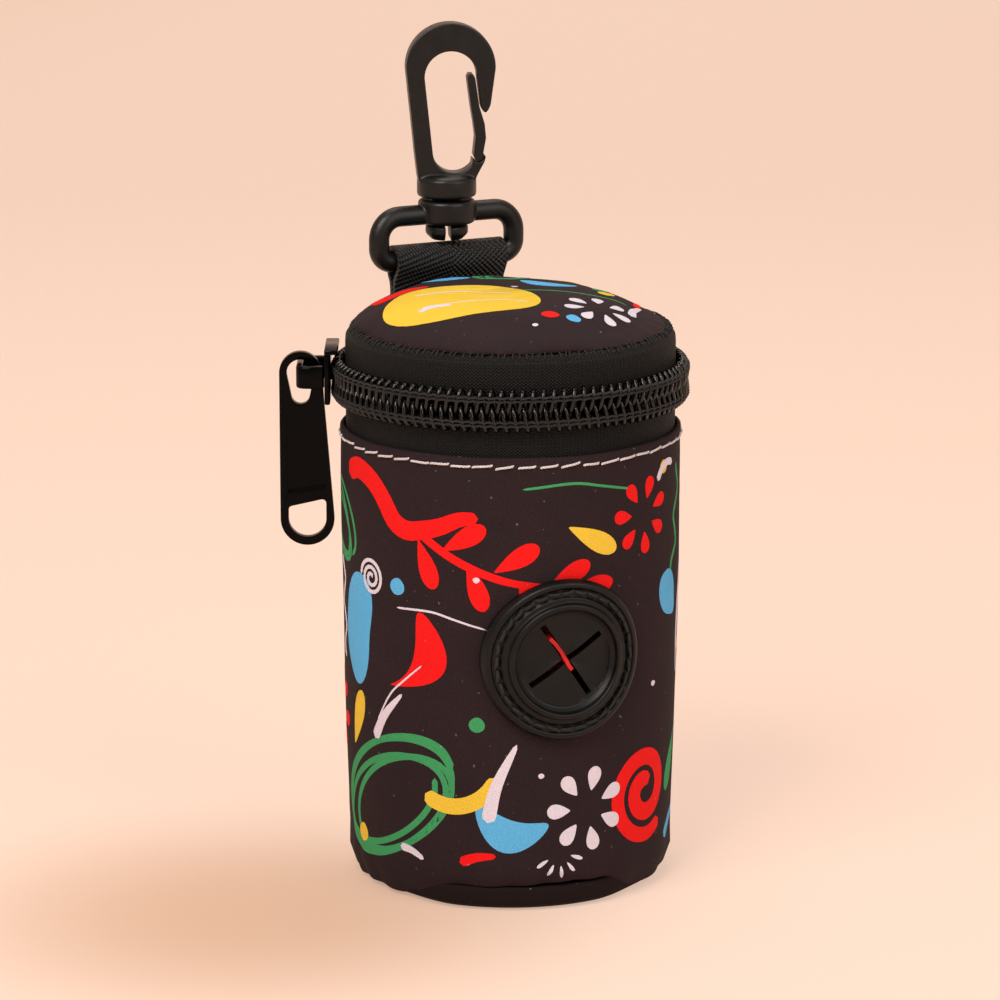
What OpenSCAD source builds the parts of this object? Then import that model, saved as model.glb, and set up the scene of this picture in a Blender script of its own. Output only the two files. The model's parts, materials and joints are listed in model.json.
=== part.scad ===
// Round zip-lid pouch that holds and feeds out a roll of small bags, with a swivel snap hook.
// Millimetres, +Z up. The origin is the middle of the base's underside. The bag outlet faces -Y,
// the lid hinge and the hook's webbing loop are at +Y.

/* [Pouch] */
// How far the padded hem stands out past the zip tape
hem_out = 0.8; // [0.5:0.05:1.2]
// How much narrower the base is than the hem, on the radius
taper = 1.2; // [0:0.1:2.4]
// Height of the hem's top edge above the table
hem_z = 70.8; // [66:0.1:78]
// Thickness of the padded fabric wall
wall = 2.2; // [2:0.1:2.8]
// Height of the base panel's turned-up rim
base_rim_h = 3.75; // [3:0.05:6]
// Thickness of the base panel's floor
base_t = 2.2; // [1.6:0.1:3]
// Radius of the base panel's rounded edge
base_edge_r = 2.4; // [1:0.1:2.8]
// Width of the tape that binds the side seam inside
binding_w = 9; // [6:0.5:14]
// Thickness of the seam binding
binding_t = 0.9; // [0.5:0.1:1.4]

/* [Stitching] */
// Length of one stitch of the hem
stitch_len = 2.5; // [1.8:0.1:3]
// Pitch of the hem stitches
stitch_pitch = 3.3; // [3.2:0.1:5]
// Thickness of the sewing thread
thread_t = 0.4; // [0.25:0.05:0.6]
// Distance from the hem's edge down to the stitches
stitch_inset = 1.3; // [1:0.1:2.5]

/* [Zip] */
// Height of the whole coil chain, both halves
chain_h = 6.7; // [6:0.1:7.2]
// Distance from the hem's edge up to the chain
chain_above_hem = 3.8; // [2.5:0.1:5]
// Pitch of one side's coil turns
tooth_pitch = 1.6; // [1.5:0.05:2.2]
// Width of one coil turn along the chain
tooth_w = 0.62; // [0.4:0.02:0.66]
// How far the coil stands out from the tape
tooth_depth = 2.1; // [1.6:0.1:2.4]
// How far the turns of the two halves reach past each other
tooth_mesh = 0.6; // [0.3:0.1:1]
// Thickness of the zip tape
tape_t = 0.6; // [0.4:0.1:0.8]
// Outside radius of the zip tape
tape_r = 25.25; // [23:0.05:28]
// Depth that the lower tape reaches into the hem
tape_tuck = 4.6; // [3:0.1:7]
// Gap between the two tapes' edges, where the slider's wedge runs
tape_gap = 2.8; // [2.6:0.1:3.2]
// Half the angle of the fabric hinge at the back
hinge_half_deg = 50; // [40:1:54]
// Thickness of the hinge fabric
hinge_t = 0.9; // [0.6:0.1:1.2]
// Angle of the zip's end stops
stop_deg = 2.4; // [1.6:0.2:3]

/* [Slider] */
// Width of the slider across the chain
slider_w = 9.3; // [8.6:0.1:9.6]
// Length of the slider along the chain
slider_len = 10.8; // [9:0.1:12]
// Thickness of the slider's plates
plate_t = 0.85; // [0.7:0.05:1]
// How far the slider's middle sits above the chain's middle
slider_lift = 0.75; // [0.5:0.05:1]
// Place of the slider round the rim, from the outlet
slider_place_deg = 108; // [106:1:112]
// Width of the bridge strip
bridge_w = 3.5; // [2.4:0.1:3.6]
// Thickness of the bridge strip
bridge_t = 1.1; // [0.8:0.05:1.2]
// Radius of the hole in the pull, round the bridge
pull_eye_r = 2.1; // [2.05:0.05:2.3]
// Width of the rim round the pull
pull_rim = 1.15; // [0.9:0.05:1.3]
// Thickness of the pull's plate
pull_t = 1.4; // [1:0.1:1.8]
// Length of the pull from the bridge to its lower end
pull_len = 26.8; // [22:0.1:27]

/* [Lid] */
// How far the domed fabric top's edge sits in from the tape
dome_inset = 1.05; // [0.5:0.05:2]
// Height of the dome above its seam
dome_h = 6.6; // [5:0.1:9]
// Thickness of the dome's padded fabric
dome_t = 2; // [1.6:0.1:2.4]
// Height from the chain to the dome's seam
upper_tape_h = 4.0; // [3.9:0.1:5]

/* [Hook loop] */
// Width of the webbing
webbing_w = 19; // [16:0.5:19.5]
// Thickness of one layer of webbing
webbing_t = 1; // [0.8:0.1:1.3]
// Angle of the webbing from the back, towards the slider
loop_deg = 8; // [0:1:12]
// How far the loop's middle sits in from the tape
loop_in = 2.75; // [2.5:0.05:3.5]
// Height of the ring's bar above the dome's seam
bar_above_seam = 7.4; // [7:0.1:9]

/* [Ring] */
// Outside width of the ring
ring_w = 26.6; // [26:0.1:30]
// Diameter of the ring's rod
rod_d = 3.3; // [2.8:0.1:3.4]
// Height from the bar's middle to the rod above it
ring_rise = 7.1; // [6.9:0.1:9]
// Radius of the ring's lower bends
ring_low_bend = 2.2; // [1.9:0.1:2.4]
// Radius of the ring's upper bends
ring_high_bend = 4.6; // [3:0.1:4.7]
// Outside diameter of the swivel hub
hub_d = 9; // [8:0.1:10]
// Height of the swivel hub
hub_h = 3.8; // [3:0.1:4.4]

/* [Hook] */
// Diameter of the hook's swivel post
post_d = 4.4; // [3.6:0.1:5]
// Running clearance of the post in the hub, on the radius
post_gap = 0.08; // [0.03:0.01:0.1]
// Diameter of the post's split barb
barb_d = 6.7; // [5.8:0.1:7.4]
// Height of the split barb
barb_h = 2.4; // [1.8:0.1:2.5]
// Width of the slot that splits the barb
barb_slot = 0.85; // [0.5:0.05:1.2]
// Diameter of the hook's collar
collar_d = 9.3; // [8.4:0.1:10]
// Height of the hook's collar
collar_h = 3; // [2.4:0.1:4]
// Thickness of the hook from front to back
hook_t = 3.6; // [3:0.1:4.4]
// Length of the hook above its collar
hook_len = 24.2; // [23.8:0.1:25]
// Outside radius of the hook's crook
crook_r = 7; // [6.8:0.1:7.2]
// Radius of the opening under the crook
eye_r = 4.1; // [3.8:0.05:4.2]
// Angle of the hook round its swivel at rest
hook_deg = -12; // [-20:1:20]
// Radius of the gate's rolled root
gate_root_r = 0.85; // [0.7:0.05:0.9]
// Clearance of the gate's root in its seat
gate_gap = 0.06; // [0.02:0.01:0.1]

/* [Outlet] */
// Radius of the rubber outlet
outlet_r = 12.5; // [11.5:0.1:13]
// Height of the outlet's middle
outlet_z = 39.7; // [36:0.1:42]
// Thickness of the outlet's flange
flange_t = 2; // [1.4:0.1:2.6]
// Radius of the dished middle
dish_r = 8; // [7.5:0.1:8.4]
// Width of the raised bead round the dish
bead_w = 1; // [0.6:0.1:1.4]
// Height of the bead above the flange
bead_h = 0.8; // [0.4:0.1:1.2]
// Thickness of the rubber that holds the slits
membrane_t = 1.2; // [0.8:0.1:1.6]
// Length of each slit
slit_len = 13.3; // [11:0.1:14]
// Width of each slit
slit_w = 0.9; // [0.85:0.05:1.2]
// Tilt of the first slit
slit_deg = 34; // [0:1:45]
// Radius of the outlet's stitch line
outlet_stitch_r = 10.6; // [10.2:0.1:10.9]
// Thickness of the backing inside
backing_t = 1.2; // [0.8:0.1:1.6]

/* [Bag roll] */
// Outside radius of the roll of bags
roll_r = 16.5; // [12:0.1:17.5]
// Length of the roll of bags
roll_len = 58; // [50:0.5:60]
// Outside radius of the roll's core
core_r = 6; // [5:0.1:8]
// Thickness of the roll's core
core_t = 1; // [0.6:0.1:1.5]
// Width of the film that reaches the slit
tail_w = 9; // [6:0.5:10]
// Thickness of the folded film
tail_t = 0.4; // [0.2:0.05:0.5]

/* [Hidden] */
$fn = 96;
hull_fn = 32;
// hairline between sewn, glued or pressed faces
seat = 0.1;
// free gap between pieces that move past each other
run = 0.2;

// how far a cut runs past what it cuts
cut_past = 20;

// pouch wall, a slight cone that follows the zip's tape
hem_r = tape_r + hem_out;
base_r = hem_r - taper;
function wall_r(z) = base_r + (hem_r - base_r) * (z - base_rim_h) / (hem_z - base_rim_h);
shell_z = base_rim_h + seat;
slot_gap = 0.1;

// chain and tapes
chain_z = hem_z + chain_above_hem;
seam_z = chain_z + chain_h / 2;
chain_top = chain_z + chain_h;
tape_in_r = tape_r - tape_t;
lower_tape_top = seam_z - tape_gap / 2;
upper_tape_low = seam_z + tape_gap / 2;
tooth_in_r = tape_r + 0.05;
tooth_out_r = tooth_in_r + tooth_depth;
tooth_h = (chain_h + tooth_mesh) / 2;
back_deg = 90;
chain_from = back_deg + hinge_half_deg + 2;
chain_to = 360 + back_deg - hinge_half_deg - 2;
teeth = floor((chain_to - chain_from) * PI * tooth_out_r / 180 / tooth_pitch);
tooth_step = (chain_to - chain_from) / teeth;
hinge_r = tape_r + seat;

// slider and pull, in a frame that turns with the slider
slider_deg = 270 - slider_place_deg;
slider_z = seam_z + slider_lift;
plate_in_r = tooth_out_r + 0.1;
plate_out_r = plate_in_r + plate_t;
// the flat inner plate's corners clear the round tape
inner_plate_out_r = sqrt(pow(tape_in_r - run, 2) - pow(slider_len / 2, 2));
inner_plate_in_r = inner_plate_out_r - plate_t;
inner_plate_w = slider_w - 2.2;
wedge_h = tape_gap - 2 * run;
wedge_len = slider_len * 0.22;
// the coil turns that the wedge holds apart
wedge_from = slider_deg - asin((slider_len / 2 + run + tooth_w / 2) / tooth_in_r);
wedge_to = slider_deg - asin((slider_len / 2 - wedge_len - run - tooth_w / 2) / tooth_out_r);
parted_h = chain_h / 2 - wedge_h / 2 - run;
flange_reach = 1.2;
flange_h = 0.9;
pull_half_w = pull_eye_r + pull_rim;
bridge_z = slider_z - 0.1;
pull_low_w = 8.3;
pull_low_r = 3.9;
pull_low_z = bridge_z - pull_len + pull_low_r;
// the pull widens downwards, so the bridge stands out far enough for it to pass the outer plate's lower edge
pull_widens = (pull_low_w - 2 * pull_half_w) * (bridge_z - slider_z + slider_w / 2) / (bridge_z - pull_low_z);
bridge_r = plate_out_r + run + pull_half_w + pull_widens;
pull_low_out = bridge_r + pull_half_w - pull_low_w / 2;
recess = 0.25;
panel_low = 4.6;
panel_high = 5.6;
slot_rise = 2.6;

// lid
dome_r = tape_r - dome_inset;
loop_out = tape_r - loop_in;
dome_z = chain_top + upper_tape_h + 0.1;
tape_flange_t = 0.4;
tape_flange_z = dome_z - seat / 2 - tape_flange_t;
dome_steps = 14;
dome_power = 2.4;
function dome_rise(f) = pow(1 - pow(f, dome_power), 1 / dome_power);
function dome_profile(r, h) = [
    for (i = [0 : dome_steps]) [r * cos(i * 90 / dome_steps), h * dome_rise(cos(i * 90 / dome_steps))]
];

// webbing loop, ring and hook share the loop's frame
bar_z = dome_z + bar_above_seam;
rod_r = rod_d / 2;
fold_in_r = rod_r + 0.1;
fold_out_r = fold_in_r + webbing_t;
// the two layers part where the webbing leaves the dome
root_top_z = dome_z + dome_h * dome_rise((loop_out - 2 * webbing_t) / dome_r);
ring_half = ring_w / 2 - rod_r;
ring_top_z = bar_z + ring_rise;
hub_z = bar_z + 5.6;
hub_top = hub_z + hub_h;
bore_r = post_d / 2 + post_gap;
collar_z = hub_top + 0.4;
barb_top = hub_z - 0.2;
barb_low = barb_top - barb_h;
hook_z = collar_z + collar_h;
hook_top = hook_z + hook_len;
crook_z = hook_top - crook_r;
crook_x = 0.6;
eye_z = hook_top - 4.4 - eye_r;
eye_x = crook_x;
eye_low_r = 3.45;
eye_low_z = hook_z + 0.8 + eye_low_r;
eye_low_x = 1.15;
gate_x = 4.9;
gate_z = hook_z + 3.4;
gate_w = 1.3;
gate_d = hook_t - 0.6;
gate_tip = [3.75, hook_top - 8.6];
gate_knee_h = 3;
gate_mid_h = 5;
gate_front = [1.15, 1, 0.1];
gate_back = [0.45, 0.75, 1.2];
nose_low = hook_top - 14;
nose_overlap = 1;
barb_slot_rise = 1.4;
nose_x = 5.85;
arc_steps = 24;

// outlet, on the pouch's wall
outlet_seat = 0.05;
flange_tilt = atan((hem_r - base_r) / (hem_z - base_rim_h));
backing_r = 11;
backing_hole_r = 7.2;
shell_hole_r = dish_r + 0.2;
outlet_stitch_len = 2.1;
outlet_stitches = floor(2 * PI * outlet_stitch_r / 3);

// bag roll
roll_z = base_t + 0.3;

// ---- helpers ----

// A round tube about Z between two radii and two heights.
module tube(r_in, r_out, z_low, z_high) {
    rotate_extrude()
        polygon([[r_in, z_low], [r_out, z_low], [r_out, z_high], [r_in, z_high]]);
}

// A stretch of such a tube, from one angle to another, measured from +X.
module tube_part(r_in, r_out, z_low, z_high, from_deg, to_deg) {
    rotate([0, 0, from_deg])
        rotate_extrude(angle = to_deg - from_deg)
            polygon([[r_in, z_low], [r_out, z_low], [r_out, z_high], [r_in, z_high]]);
}

// A cone-shaped layer that lies against the pouch's wall, from a to b outside it.
module wall_layer(a, b, z_low, z_high) {
    rotate_extrude()
        polygon([
            [wall_r(z_low) + a, z_low], [wall_r(z_low) + b, z_low],
            [wall_r(z_high) + b, z_high], [wall_r(z_high) + a, z_high]
        ]);
}

// A round plug through the front wall at the outlet's middle.
module outlet_plug(r) {
    translate([0, 0, outlet_z])
        rotate([90, 0, 0])
            cylinder(r = r, h = hem_r + 10);
}

// Puts a piece at the slider: X points outwards from the pouch, Y along the chain.
module at_slider() {
    rotate([0, 0, slider_deg])
        children();
}

// Puts a piece at the webbing loop: X along the bar, the bar's middle on the axis.
module at_loop() {
    rotate([0, 0, loop_deg])
        translate([0, loop_out, 0])
            children();
}

// The same place, turned to the hook's own angle.
module at_hook() {
    at_loop()
        rotate([0, 0, hook_deg - loop_deg])
            children();
}

// Raises an outline drawn in X and Z to a plate of thickness t, centred on Y.
module plate(t) {
    rotate([90, 0, 0])
        translate([0, 0, -t / 2])
            linear_extrude(height = t)
                children();
}

// ---- pouch ----

module body_shell() {
    color("#2D2024")
        difference() {
            wall_layer(-wall, 0, shell_z, hem_z);
            tube(tape_in_r - slot_gap, tape_r + slot_gap, hem_z - tape_tuck - seat, hem_z + 1);
            outlet_plug(shell_hole_r);
        }
}

module base_panel() {
    color("#1C1719")
        rotate_extrude()
            difference() {
                union() {
                    translate([0, base_edge_r])
                        square([base_r, base_rim_h - base_edge_r]);
                    square([base_r - base_edge_r, base_rim_h]);
                    translate([base_r - base_edge_r, base_edge_r])
                        circle(r = base_edge_r);
                }
                translate([0, base_t])
                    square([base_r - wall, base_rim_h]);
                translate([0, base_rim_h])
                    square([base_r + 1, 2 * base_edge_r]);
            }
}

// A bound seam up the inside of the back wall.
module side_seam_binding() {
    half_deg = asin(binding_w / 2 / (base_r - wall));
    top_z = hem_z - 2;
    color("#191718")
        rotate([0, 0, back_deg - half_deg])
            rotate_extrude(angle = 2 * half_deg)
                polygon([
                    [wall_r(shell_z) - wall - seat - binding_t, shell_z],
                    [wall_r(shell_z) - wall - seat, shell_z],
                    [wall_r(top_z) - wall - seat, top_z],
                    [wall_r(top_z) - wall - seat - binding_t, top_z]
                ]);
}

module hem_stitching() {
    z = hem_z - stitch_inset;
    count = floor(2 * PI * hem_r / stitch_pitch);
    color("#E8E2E4")
        for (i = [0 : count - 1])
            rotate([0, 0, i * 360 / count])
                translate([wall_r(z) + 0.06 + thread_t / 2, 0, z])
                    cube([thread_t, stitch_len, thread_t * 1.3], center = true);
}

// ---- zip ----

module lower_tape() {
    color("#141314")
        tube(tape_in_r, tape_r, hem_z - tape_tuck, lower_tape_top);
}

// One side's coil turns, the first one shifted along the chain. The slider's wedge holds a few of them apart.
module coil_half(upper, shift) {
    for (i = [0 : teeth - 1]) {
        at = chain_from + (i + shift) * tooth_step;
        h = at > wedge_from && at < wedge_to ? parted_h : tooth_h;
        rotate([0, 0, at])
            translate([tooth_in_r, -tooth_w / 2, upper ? chain_top - h : chain_z])
                cube([tooth_depth, tooth_w, h]);
    }
}

module lower_coil() {
    color("#0F0F10")
        coil_half(false, 0.25);
}

module upper_coil() {
    color("#0F0F10")
        coil_half(true, 0.75);
}

// The pair of stops at the ends of one tape's coil.
module end_stops(z_low) {
    for (from_deg = [chain_from - stop_deg - 0.6, chain_to + 0.6])
        tube_part(tooth_in_r, tooth_out_r - 0.3, z_low, z_low + tooth_h - tooth_mesh, from_deg, from_deg + stop_deg);
}

module lower_end_stops() {
    color("#17171A")
        end_stops(chain_z);
}

module upper_end_stops() {
    color("#17171A")
        end_stops(seam_z + 0.15);
}

// The fabric that joins lid and pouch at the back.
module hinge_tab() {
    color("#201A1C")
        tube_part(hinge_r, hinge_r + hinge_t, hem_z + seat, dome_z - 0.6,
            back_deg - hinge_half_deg + 2, back_deg + hinge_half_deg - 2);
}

// ---- outlet ----

module slits(w) {
    for (tilt = [slit_deg, slit_deg + 90])
        translate([0, -hem_r, outlet_z])
            rotate([0, -tilt, 0])
                cube([slit_len, cut_past, w], center = true);
}

module outlet_grommet() {
    z_low = outlet_z - outlet_r - 1;
    z_high = outlet_z + outlet_r + 1;
    color("#1A1A1B")
        difference() {
            union() {
                intersection() {
                    wall_layer(outlet_seat, flange_t, z_low, z_high);
                    outlet_plug(outlet_r);
                }
                intersection() {
                    wall_layer(outlet_seat, flange_t + bead_h, z_low, z_high);
                    outlet_plug(dish_r + bead_w);
                }
            }
            intersection() {
                wall_layer(outlet_seat + membrane_t, flange_t + 2 * bead_h, z_low, z_high);
                outlet_plug(dish_r);
            }
            slits(slit_w);
        }
}

module outlet_backing() {
    color("#1D1B1C")
        intersection() {
            wall_layer(-wall - seat - backing_t, -wall - seat, outlet_z - outlet_r, outlet_z + outlet_r);
            difference() {
                outlet_plug(backing_r);
                outlet_plug(backing_hole_r);
            }
        }
}

module outlet_stitching() {
    color("#0C0C0D")
        for (i = [0 : outlet_stitches - 1]) {
            turn = i * 360 / outlet_stitches;
            x = outlet_stitch_r * cos(turn);
            z = outlet_z + outlet_stitch_r * sin(turn);
            out = wall_r(z) + flange_t + 0.1 + thread_t / 2;
            rotate([0, 0, asin(x / out)])
                translate([0, -out, z])
                    rotate([0, 90 - turn, 0])
                        cube([outlet_stitch_len, thread_t, thread_t], center = true);
        }
}

// The end of the next bag, folded and led to the slit.
module bag_tail() {
    tail_from = roll_r + 0.4;
    tail_to = wall_r(outlet_z) + outlet_seat + membrane_t + 0.3;
    color("#E0201E")
        translate([0, -(tail_from + tail_to) / 2, outlet_z])
            rotate([0, -slit_deg, 0])
                cube([tail_w, tail_to - tail_from, tail_t], center = true);
}

// ---- lid ----

// The notch in the dome's back edge that the webbing comes up through.
module webbing_slot() {
    at_loop()
        translate([-(webbing_w / 2 + seat), -(webbing_t + seat), dome_z - 1])
            cube([webbing_w + 2 * seat, cut_past, cut_past]);
}

module lid_panel() {
    color("#2D2024")
        difference() {
            translate([0, 0, dome_z])
                rotate_extrude()
                    difference() {
                        polygon(concat([[0, 0]], dome_profile(dome_r, dome_h)));
                        polygon(concat([[0, 0]], dome_profile(dome_r - dome_t, dome_h - dome_t)));
                    }
            webbing_slot();
        }
}

// The tape's upper edge turns in under the dome, where it is sewn.
module upper_tape() {
    color("#141314")
        rotate_extrude()
            polygon([
                [tape_in_r, upper_tape_low],
                [tape_r, upper_tape_low],
                [tape_r, tape_flange_z + tape_flange_t - 0.3],
                [tape_r - 0.3, tape_flange_z + tape_flange_t],
                [dome_r - dome_t - 1, tape_flange_z + tape_flange_t],
                [dome_r - dome_t - 1, tape_flange_z],
                [tape_in_r, tape_flange_z]
            ]);
}

module webbing_loop() {
    foot = webbing_t;
    color("#121213")
        at_loop()
            rotate([90, 0, 90])
                translate([0, 0, -webbing_w / 2])
                    linear_extrude(height = webbing_w)
                        difference() {
                            union() {
                                translate([0, bar_z])
                                    circle(r = fold_out_r);
                                polygon([
                                    [-fold_out_r, bar_z], [-foot, root_top_z], [-foot, dome_z + seat],
                                    [foot, dome_z + seat], [foot, root_top_z], [fold_out_r, bar_z]
                                ]);
                            }
                            translate([0, bar_z])
                                circle(r = fold_in_r);
                            polygon([[-fold_in_r, bar_z], [0, root_top_z + 1], [fold_in_r, bar_z]]);
                        }
}

// ---- slider ----

module slider_body() {
    inner_mid = (inner_plate_in_r + inner_plate_out_r) / 2;
    color("#151112")
        at_slider()
            difference() {
                union() {
                    // outer plate
                    translate([plate_in_r, -slider_len / 2, slider_z - slider_w / 2])
                        cube([plate_t, slider_len, slider_w]);
                    // inner plate
                    translate([inner_mid, 0, seam_z])
                        cube([plate_t, slider_len, inner_plate_w], center = true);
                    // wedge that parts the chain
                    translate([inner_mid, -slider_len / 2, seam_z - wedge_h / 2])
                        cube([plate_in_r - inner_mid + plate_t / 2, wedge_len, wedge_h]);
                    // turned-in edges of the outer plate, above and below the chain
                    translate([plate_in_r - flange_reach, -slider_len / 2, slider_z + slider_w / 2 - flange_h])
                        cube([flange_reach + plate_t, slider_len, flange_h]);
                }
                // bevelled upper corners
                for (side = [-1, 1])
                    translate([plate_in_r, side * slider_len / 2, slider_z + slider_w / 2])
                        rotate([45, 0, 0])
                            cube([6, 1.6, 1.6], center = true);
            }
}

// The strip that the pull hangs on, on a leg at each end.
module slider_bridge() {
    reach = bridge_r + bridge_t / 2 - plate_out_r - 0.05;
    span = slider_len - 1.4;
    color("#151112")
        at_slider()
            translate([plate_out_r + 0.05, 0, bridge_z])
                difference() {
                    translate([reach / 2, 0, 0])
                        cube([reach, span, bridge_w], center = true);
                    translate([(reach - bridge_t) / 2 - 0.5, 0, 0])
                        cube([reach - bridge_t + 1, span - 2 * bridge_t, bridge_w + 1], center = true);
                }
}

// Outline of the pull, X outwards and Y up, its eye round the bridge.
module pull_outline(inset) {
    hull() {
        translate([bridge_r, bridge_z])
            circle(r = pull_half_w - inset, $fn = hull_fn);
        translate([pull_low_out, pull_low_z])
            circle(r = pull_low_w / 2 - inset, $fn = hull_fn);
    }
}

module pull_eye() {
    translate([bridge_r, bridge_z])
        circle(r = pull_eye_r);
    hull() {
        translate([bridge_r, bridge_z - 1])
            circle(r = pull_eye_r - 0.2, $fn = hull_fn);
        translate([bridge_r, bridge_z - 3.6])
            circle(r = 1, $fn = hull_fn);
    }
}

module pull_slot() {
    r = pull_low_w / 2 - pull_rim - 0.1;
    difference() {
        union() {
            translate([pull_low_out, pull_low_z])
                circle(r = r);
            translate([pull_low_out - r, pull_low_z])
                square([2 * r, 2 * slot_rise]);
        }
        translate([pull_low_out - 2 * r, pull_low_z + slot_rise])
            rotate(-14)
                square([4 * r, 4 * r]);
    }
}

module pull_tab() {
    color("#0D0C0C")
        at_slider()
            difference() {
                plate(pull_t)
                    difference() {
                        pull_outline(0);
                        pull_eye();
                        pull_slot();
                    }
                // shallow panel pressed into both faces
                for (side = [-1, 1])
                    translate([0, side * (pull_t / 2), 0])
                        plate(2 * recess)
                            intersection() {
                                pull_outline(pull_rim);
                                translate([bridge_r - cut_past / 2, pull_low_z + panel_low])
                                    square([cut_past, bridge_z - panel_high - pull_low_z - panel_low]);
                            }
            }
}

// ---- ring and hook ----

// A quarter bend of the ring's rod, from the +X side up to the top.
module bend(r) {
    rotate([90, 0, 0])
        rotate_extrude(angle = 90)
            translate([r, 0])
                circle(r = rod_r);
}

module ring_side() {
    // lower bend, straight limb, upper bend and the stretch to the hub
    translate([ring_half - ring_low_bend, 0, bar_z + ring_low_bend])
        mirror([0, 0, 1])
            bend(ring_low_bend);
    translate([ring_half, 0, bar_z + ring_low_bend])
        cylinder(r = rod_r, h = ring_rise - ring_low_bend - ring_high_bend);
    translate([ring_half - ring_high_bend, 0, ring_top_z - ring_high_bend])
        bend(ring_high_bend);
    translate([hub_d / 2 - 0.8, 0, ring_top_z])
        rotate([0, 90, 0])
            cylinder(r = rod_r, h = ring_half - ring_high_bend - hub_d / 2 + 0.8);
}

module swivel_ring() {
    color("#151516")
        at_loop()
            difference() {
                union() {
                    translate([-(ring_half - ring_low_bend), 0, bar_z])
                        rotate([0, 90, 0])
                            cylinder(r = rod_r, h = 2 * (ring_half - ring_low_bend));
                    ring_side();
                    mirror([1, 0, 0])
                        ring_side();
                    translate([0, 0, hub_z])
                        cylinder(r = hub_d / 2, h = hub_h);
                }
                translate([0, 0, hub_z - 1])
                    cylinder(r = bore_r, h = hub_h + 2);
            }
}

// Points along an arc, for the hook's rounded outline.
function arc(middle, r, from_deg, to_deg) = [
    for (i = [0 : arc_steps])
        middle + r * [
            cos(from_deg + (to_deg - from_deg) * i / arc_steps),
            sin(from_deg + (to_deg - from_deg) * i / arc_steps)
        ]
];

// Outline of the hook's frame, X across and Y up: the filled shape less its eye and mouth.
module hook_outline() {
    difference() {
        polygon(concat(
            [
                [-collar_d / 2, hook_z - 0.2], [4.4, hook_z - 0.2], [gate_x + 1.15, gate_z - 0.6],
                [gate_x + 1.15, gate_z + 0.2], [nose_x + 0.35, nose_low], [nose_x + 0.7, nose_low + 0.9]
            ],
            arc([crook_x, crook_z], crook_r, 0, 180),
            [[-collar_d / 2 - 0.45, hook_z + 4.3]]
        ));
        polygon(concat(
            arc([eye_x, eye_z], eye_r, 0, 180),
            arc([eye_low_x, eye_low_z], eye_low_r, 180, 330),
            [
                [gate_x, gate_z], [gate_x + 10, gate_z], [gate_x + 10, nose_low],
                [nose_x - 0.3, nose_low], [nose_x - 0.55, nose_low + 0.8]
            ]
        ));
        translate([gate_x, gate_z])
            circle(r = gate_root_r + gate_gap);
    }
}

module snap_hook() {
    color("#151516")
        at_hook()
            difference() {
                union() {
                    plate(hook_t)
                        hook_outline();
                    // barb, post and collar
                    rotate_extrude()
                        polygon([
                            [0, barb_low], [barb_d / 2 - 1, barb_low], [barb_d / 2, barb_low + 1],
                            [barb_d / 2, barb_top - 0.4], [barb_d / 2 - 0.4, barb_top],
                            [post_d / 2, barb_top], [post_d / 2, collar_z],
                            [collar_d / 2, collar_z], [collar_d / 2, hook_z], [0, hook_z]
                        ]);
                }
                // slot that lets the barb spring in
                translate([0, 0, barb_low])
                    cube([barb_slot, 2 * barb_d, 2 * (barb_h + barb_slot_rise)], center = true);
            }
}

// The springy tongue that closes the hook.
module hook_gate() {
    color("#151516")
        at_hook()
            plate(gate_d) {
                translate([gate_x, gate_z])
                    circle(r = gate_root_r);
                polygon([
                    [gate_x - gate_root_r + 0.1, gate_z + 0.15], [gate_x + gate_root_r - 0.1, gate_z + 0.15],
                    [gate_x + gate_front[0], gate_z + gate_knee_h], [gate_x + gate_front[1], gate_z + gate_mid_h],
                    [gate_x + gate_front[2], nose_low + nose_overlap],
                    [gate_tip[0] + gate_w / 2, gate_tip[1]], [gate_tip[0] - gate_w / 2, gate_tip[1]],
                    [gate_x - gate_back[2], nose_low + nose_overlap],
                    [gate_x - gate_back[1], gate_z + gate_mid_h], [gate_x - gate_back[0], gate_z + gate_knee_h]
                ]);
                translate(gate_tip)
                    circle(r = gate_w / 2);
            }
}

// ---- bags ----

module bag_roll() {
    color("#E0201E")
        tube(core_r + 0.05, roll_r, roll_z, roll_z + roll_len);
}

module roll_core() {
    color("#B9A88E")
        tube(core_r - core_t, core_r, roll_z, roll_z + roll_len);
}

body_shell();
base_panel();
side_seam_binding();
hem_stitching();
lower_tape();
lower_coil();
lower_end_stops();
hinge_tab();
outlet_grommet();
outlet_backing();
outlet_stitching();
bag_tail();
lid_panel();
upper_tape();
upper_coil();
upper_end_stops();
webbing_loop();
slider_body();
slider_bridge();
pull_tab();
swivel_ring();
snap_hook();
hook_gate();
bag_roll();
roll_core();
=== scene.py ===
"""Dresses the zip-lid bag pouch: printed padded cloth, zip, rubber outlet, webbing, ring and snap hook."""
import json
import random
from contextlib import contextmanager
from math import asin, atan2, copysign, cos, degrees, exp, hypot, pi, radians, sin, sqrt, tan, tau

import bpy
from mathutils import Matrix, Vector


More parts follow.
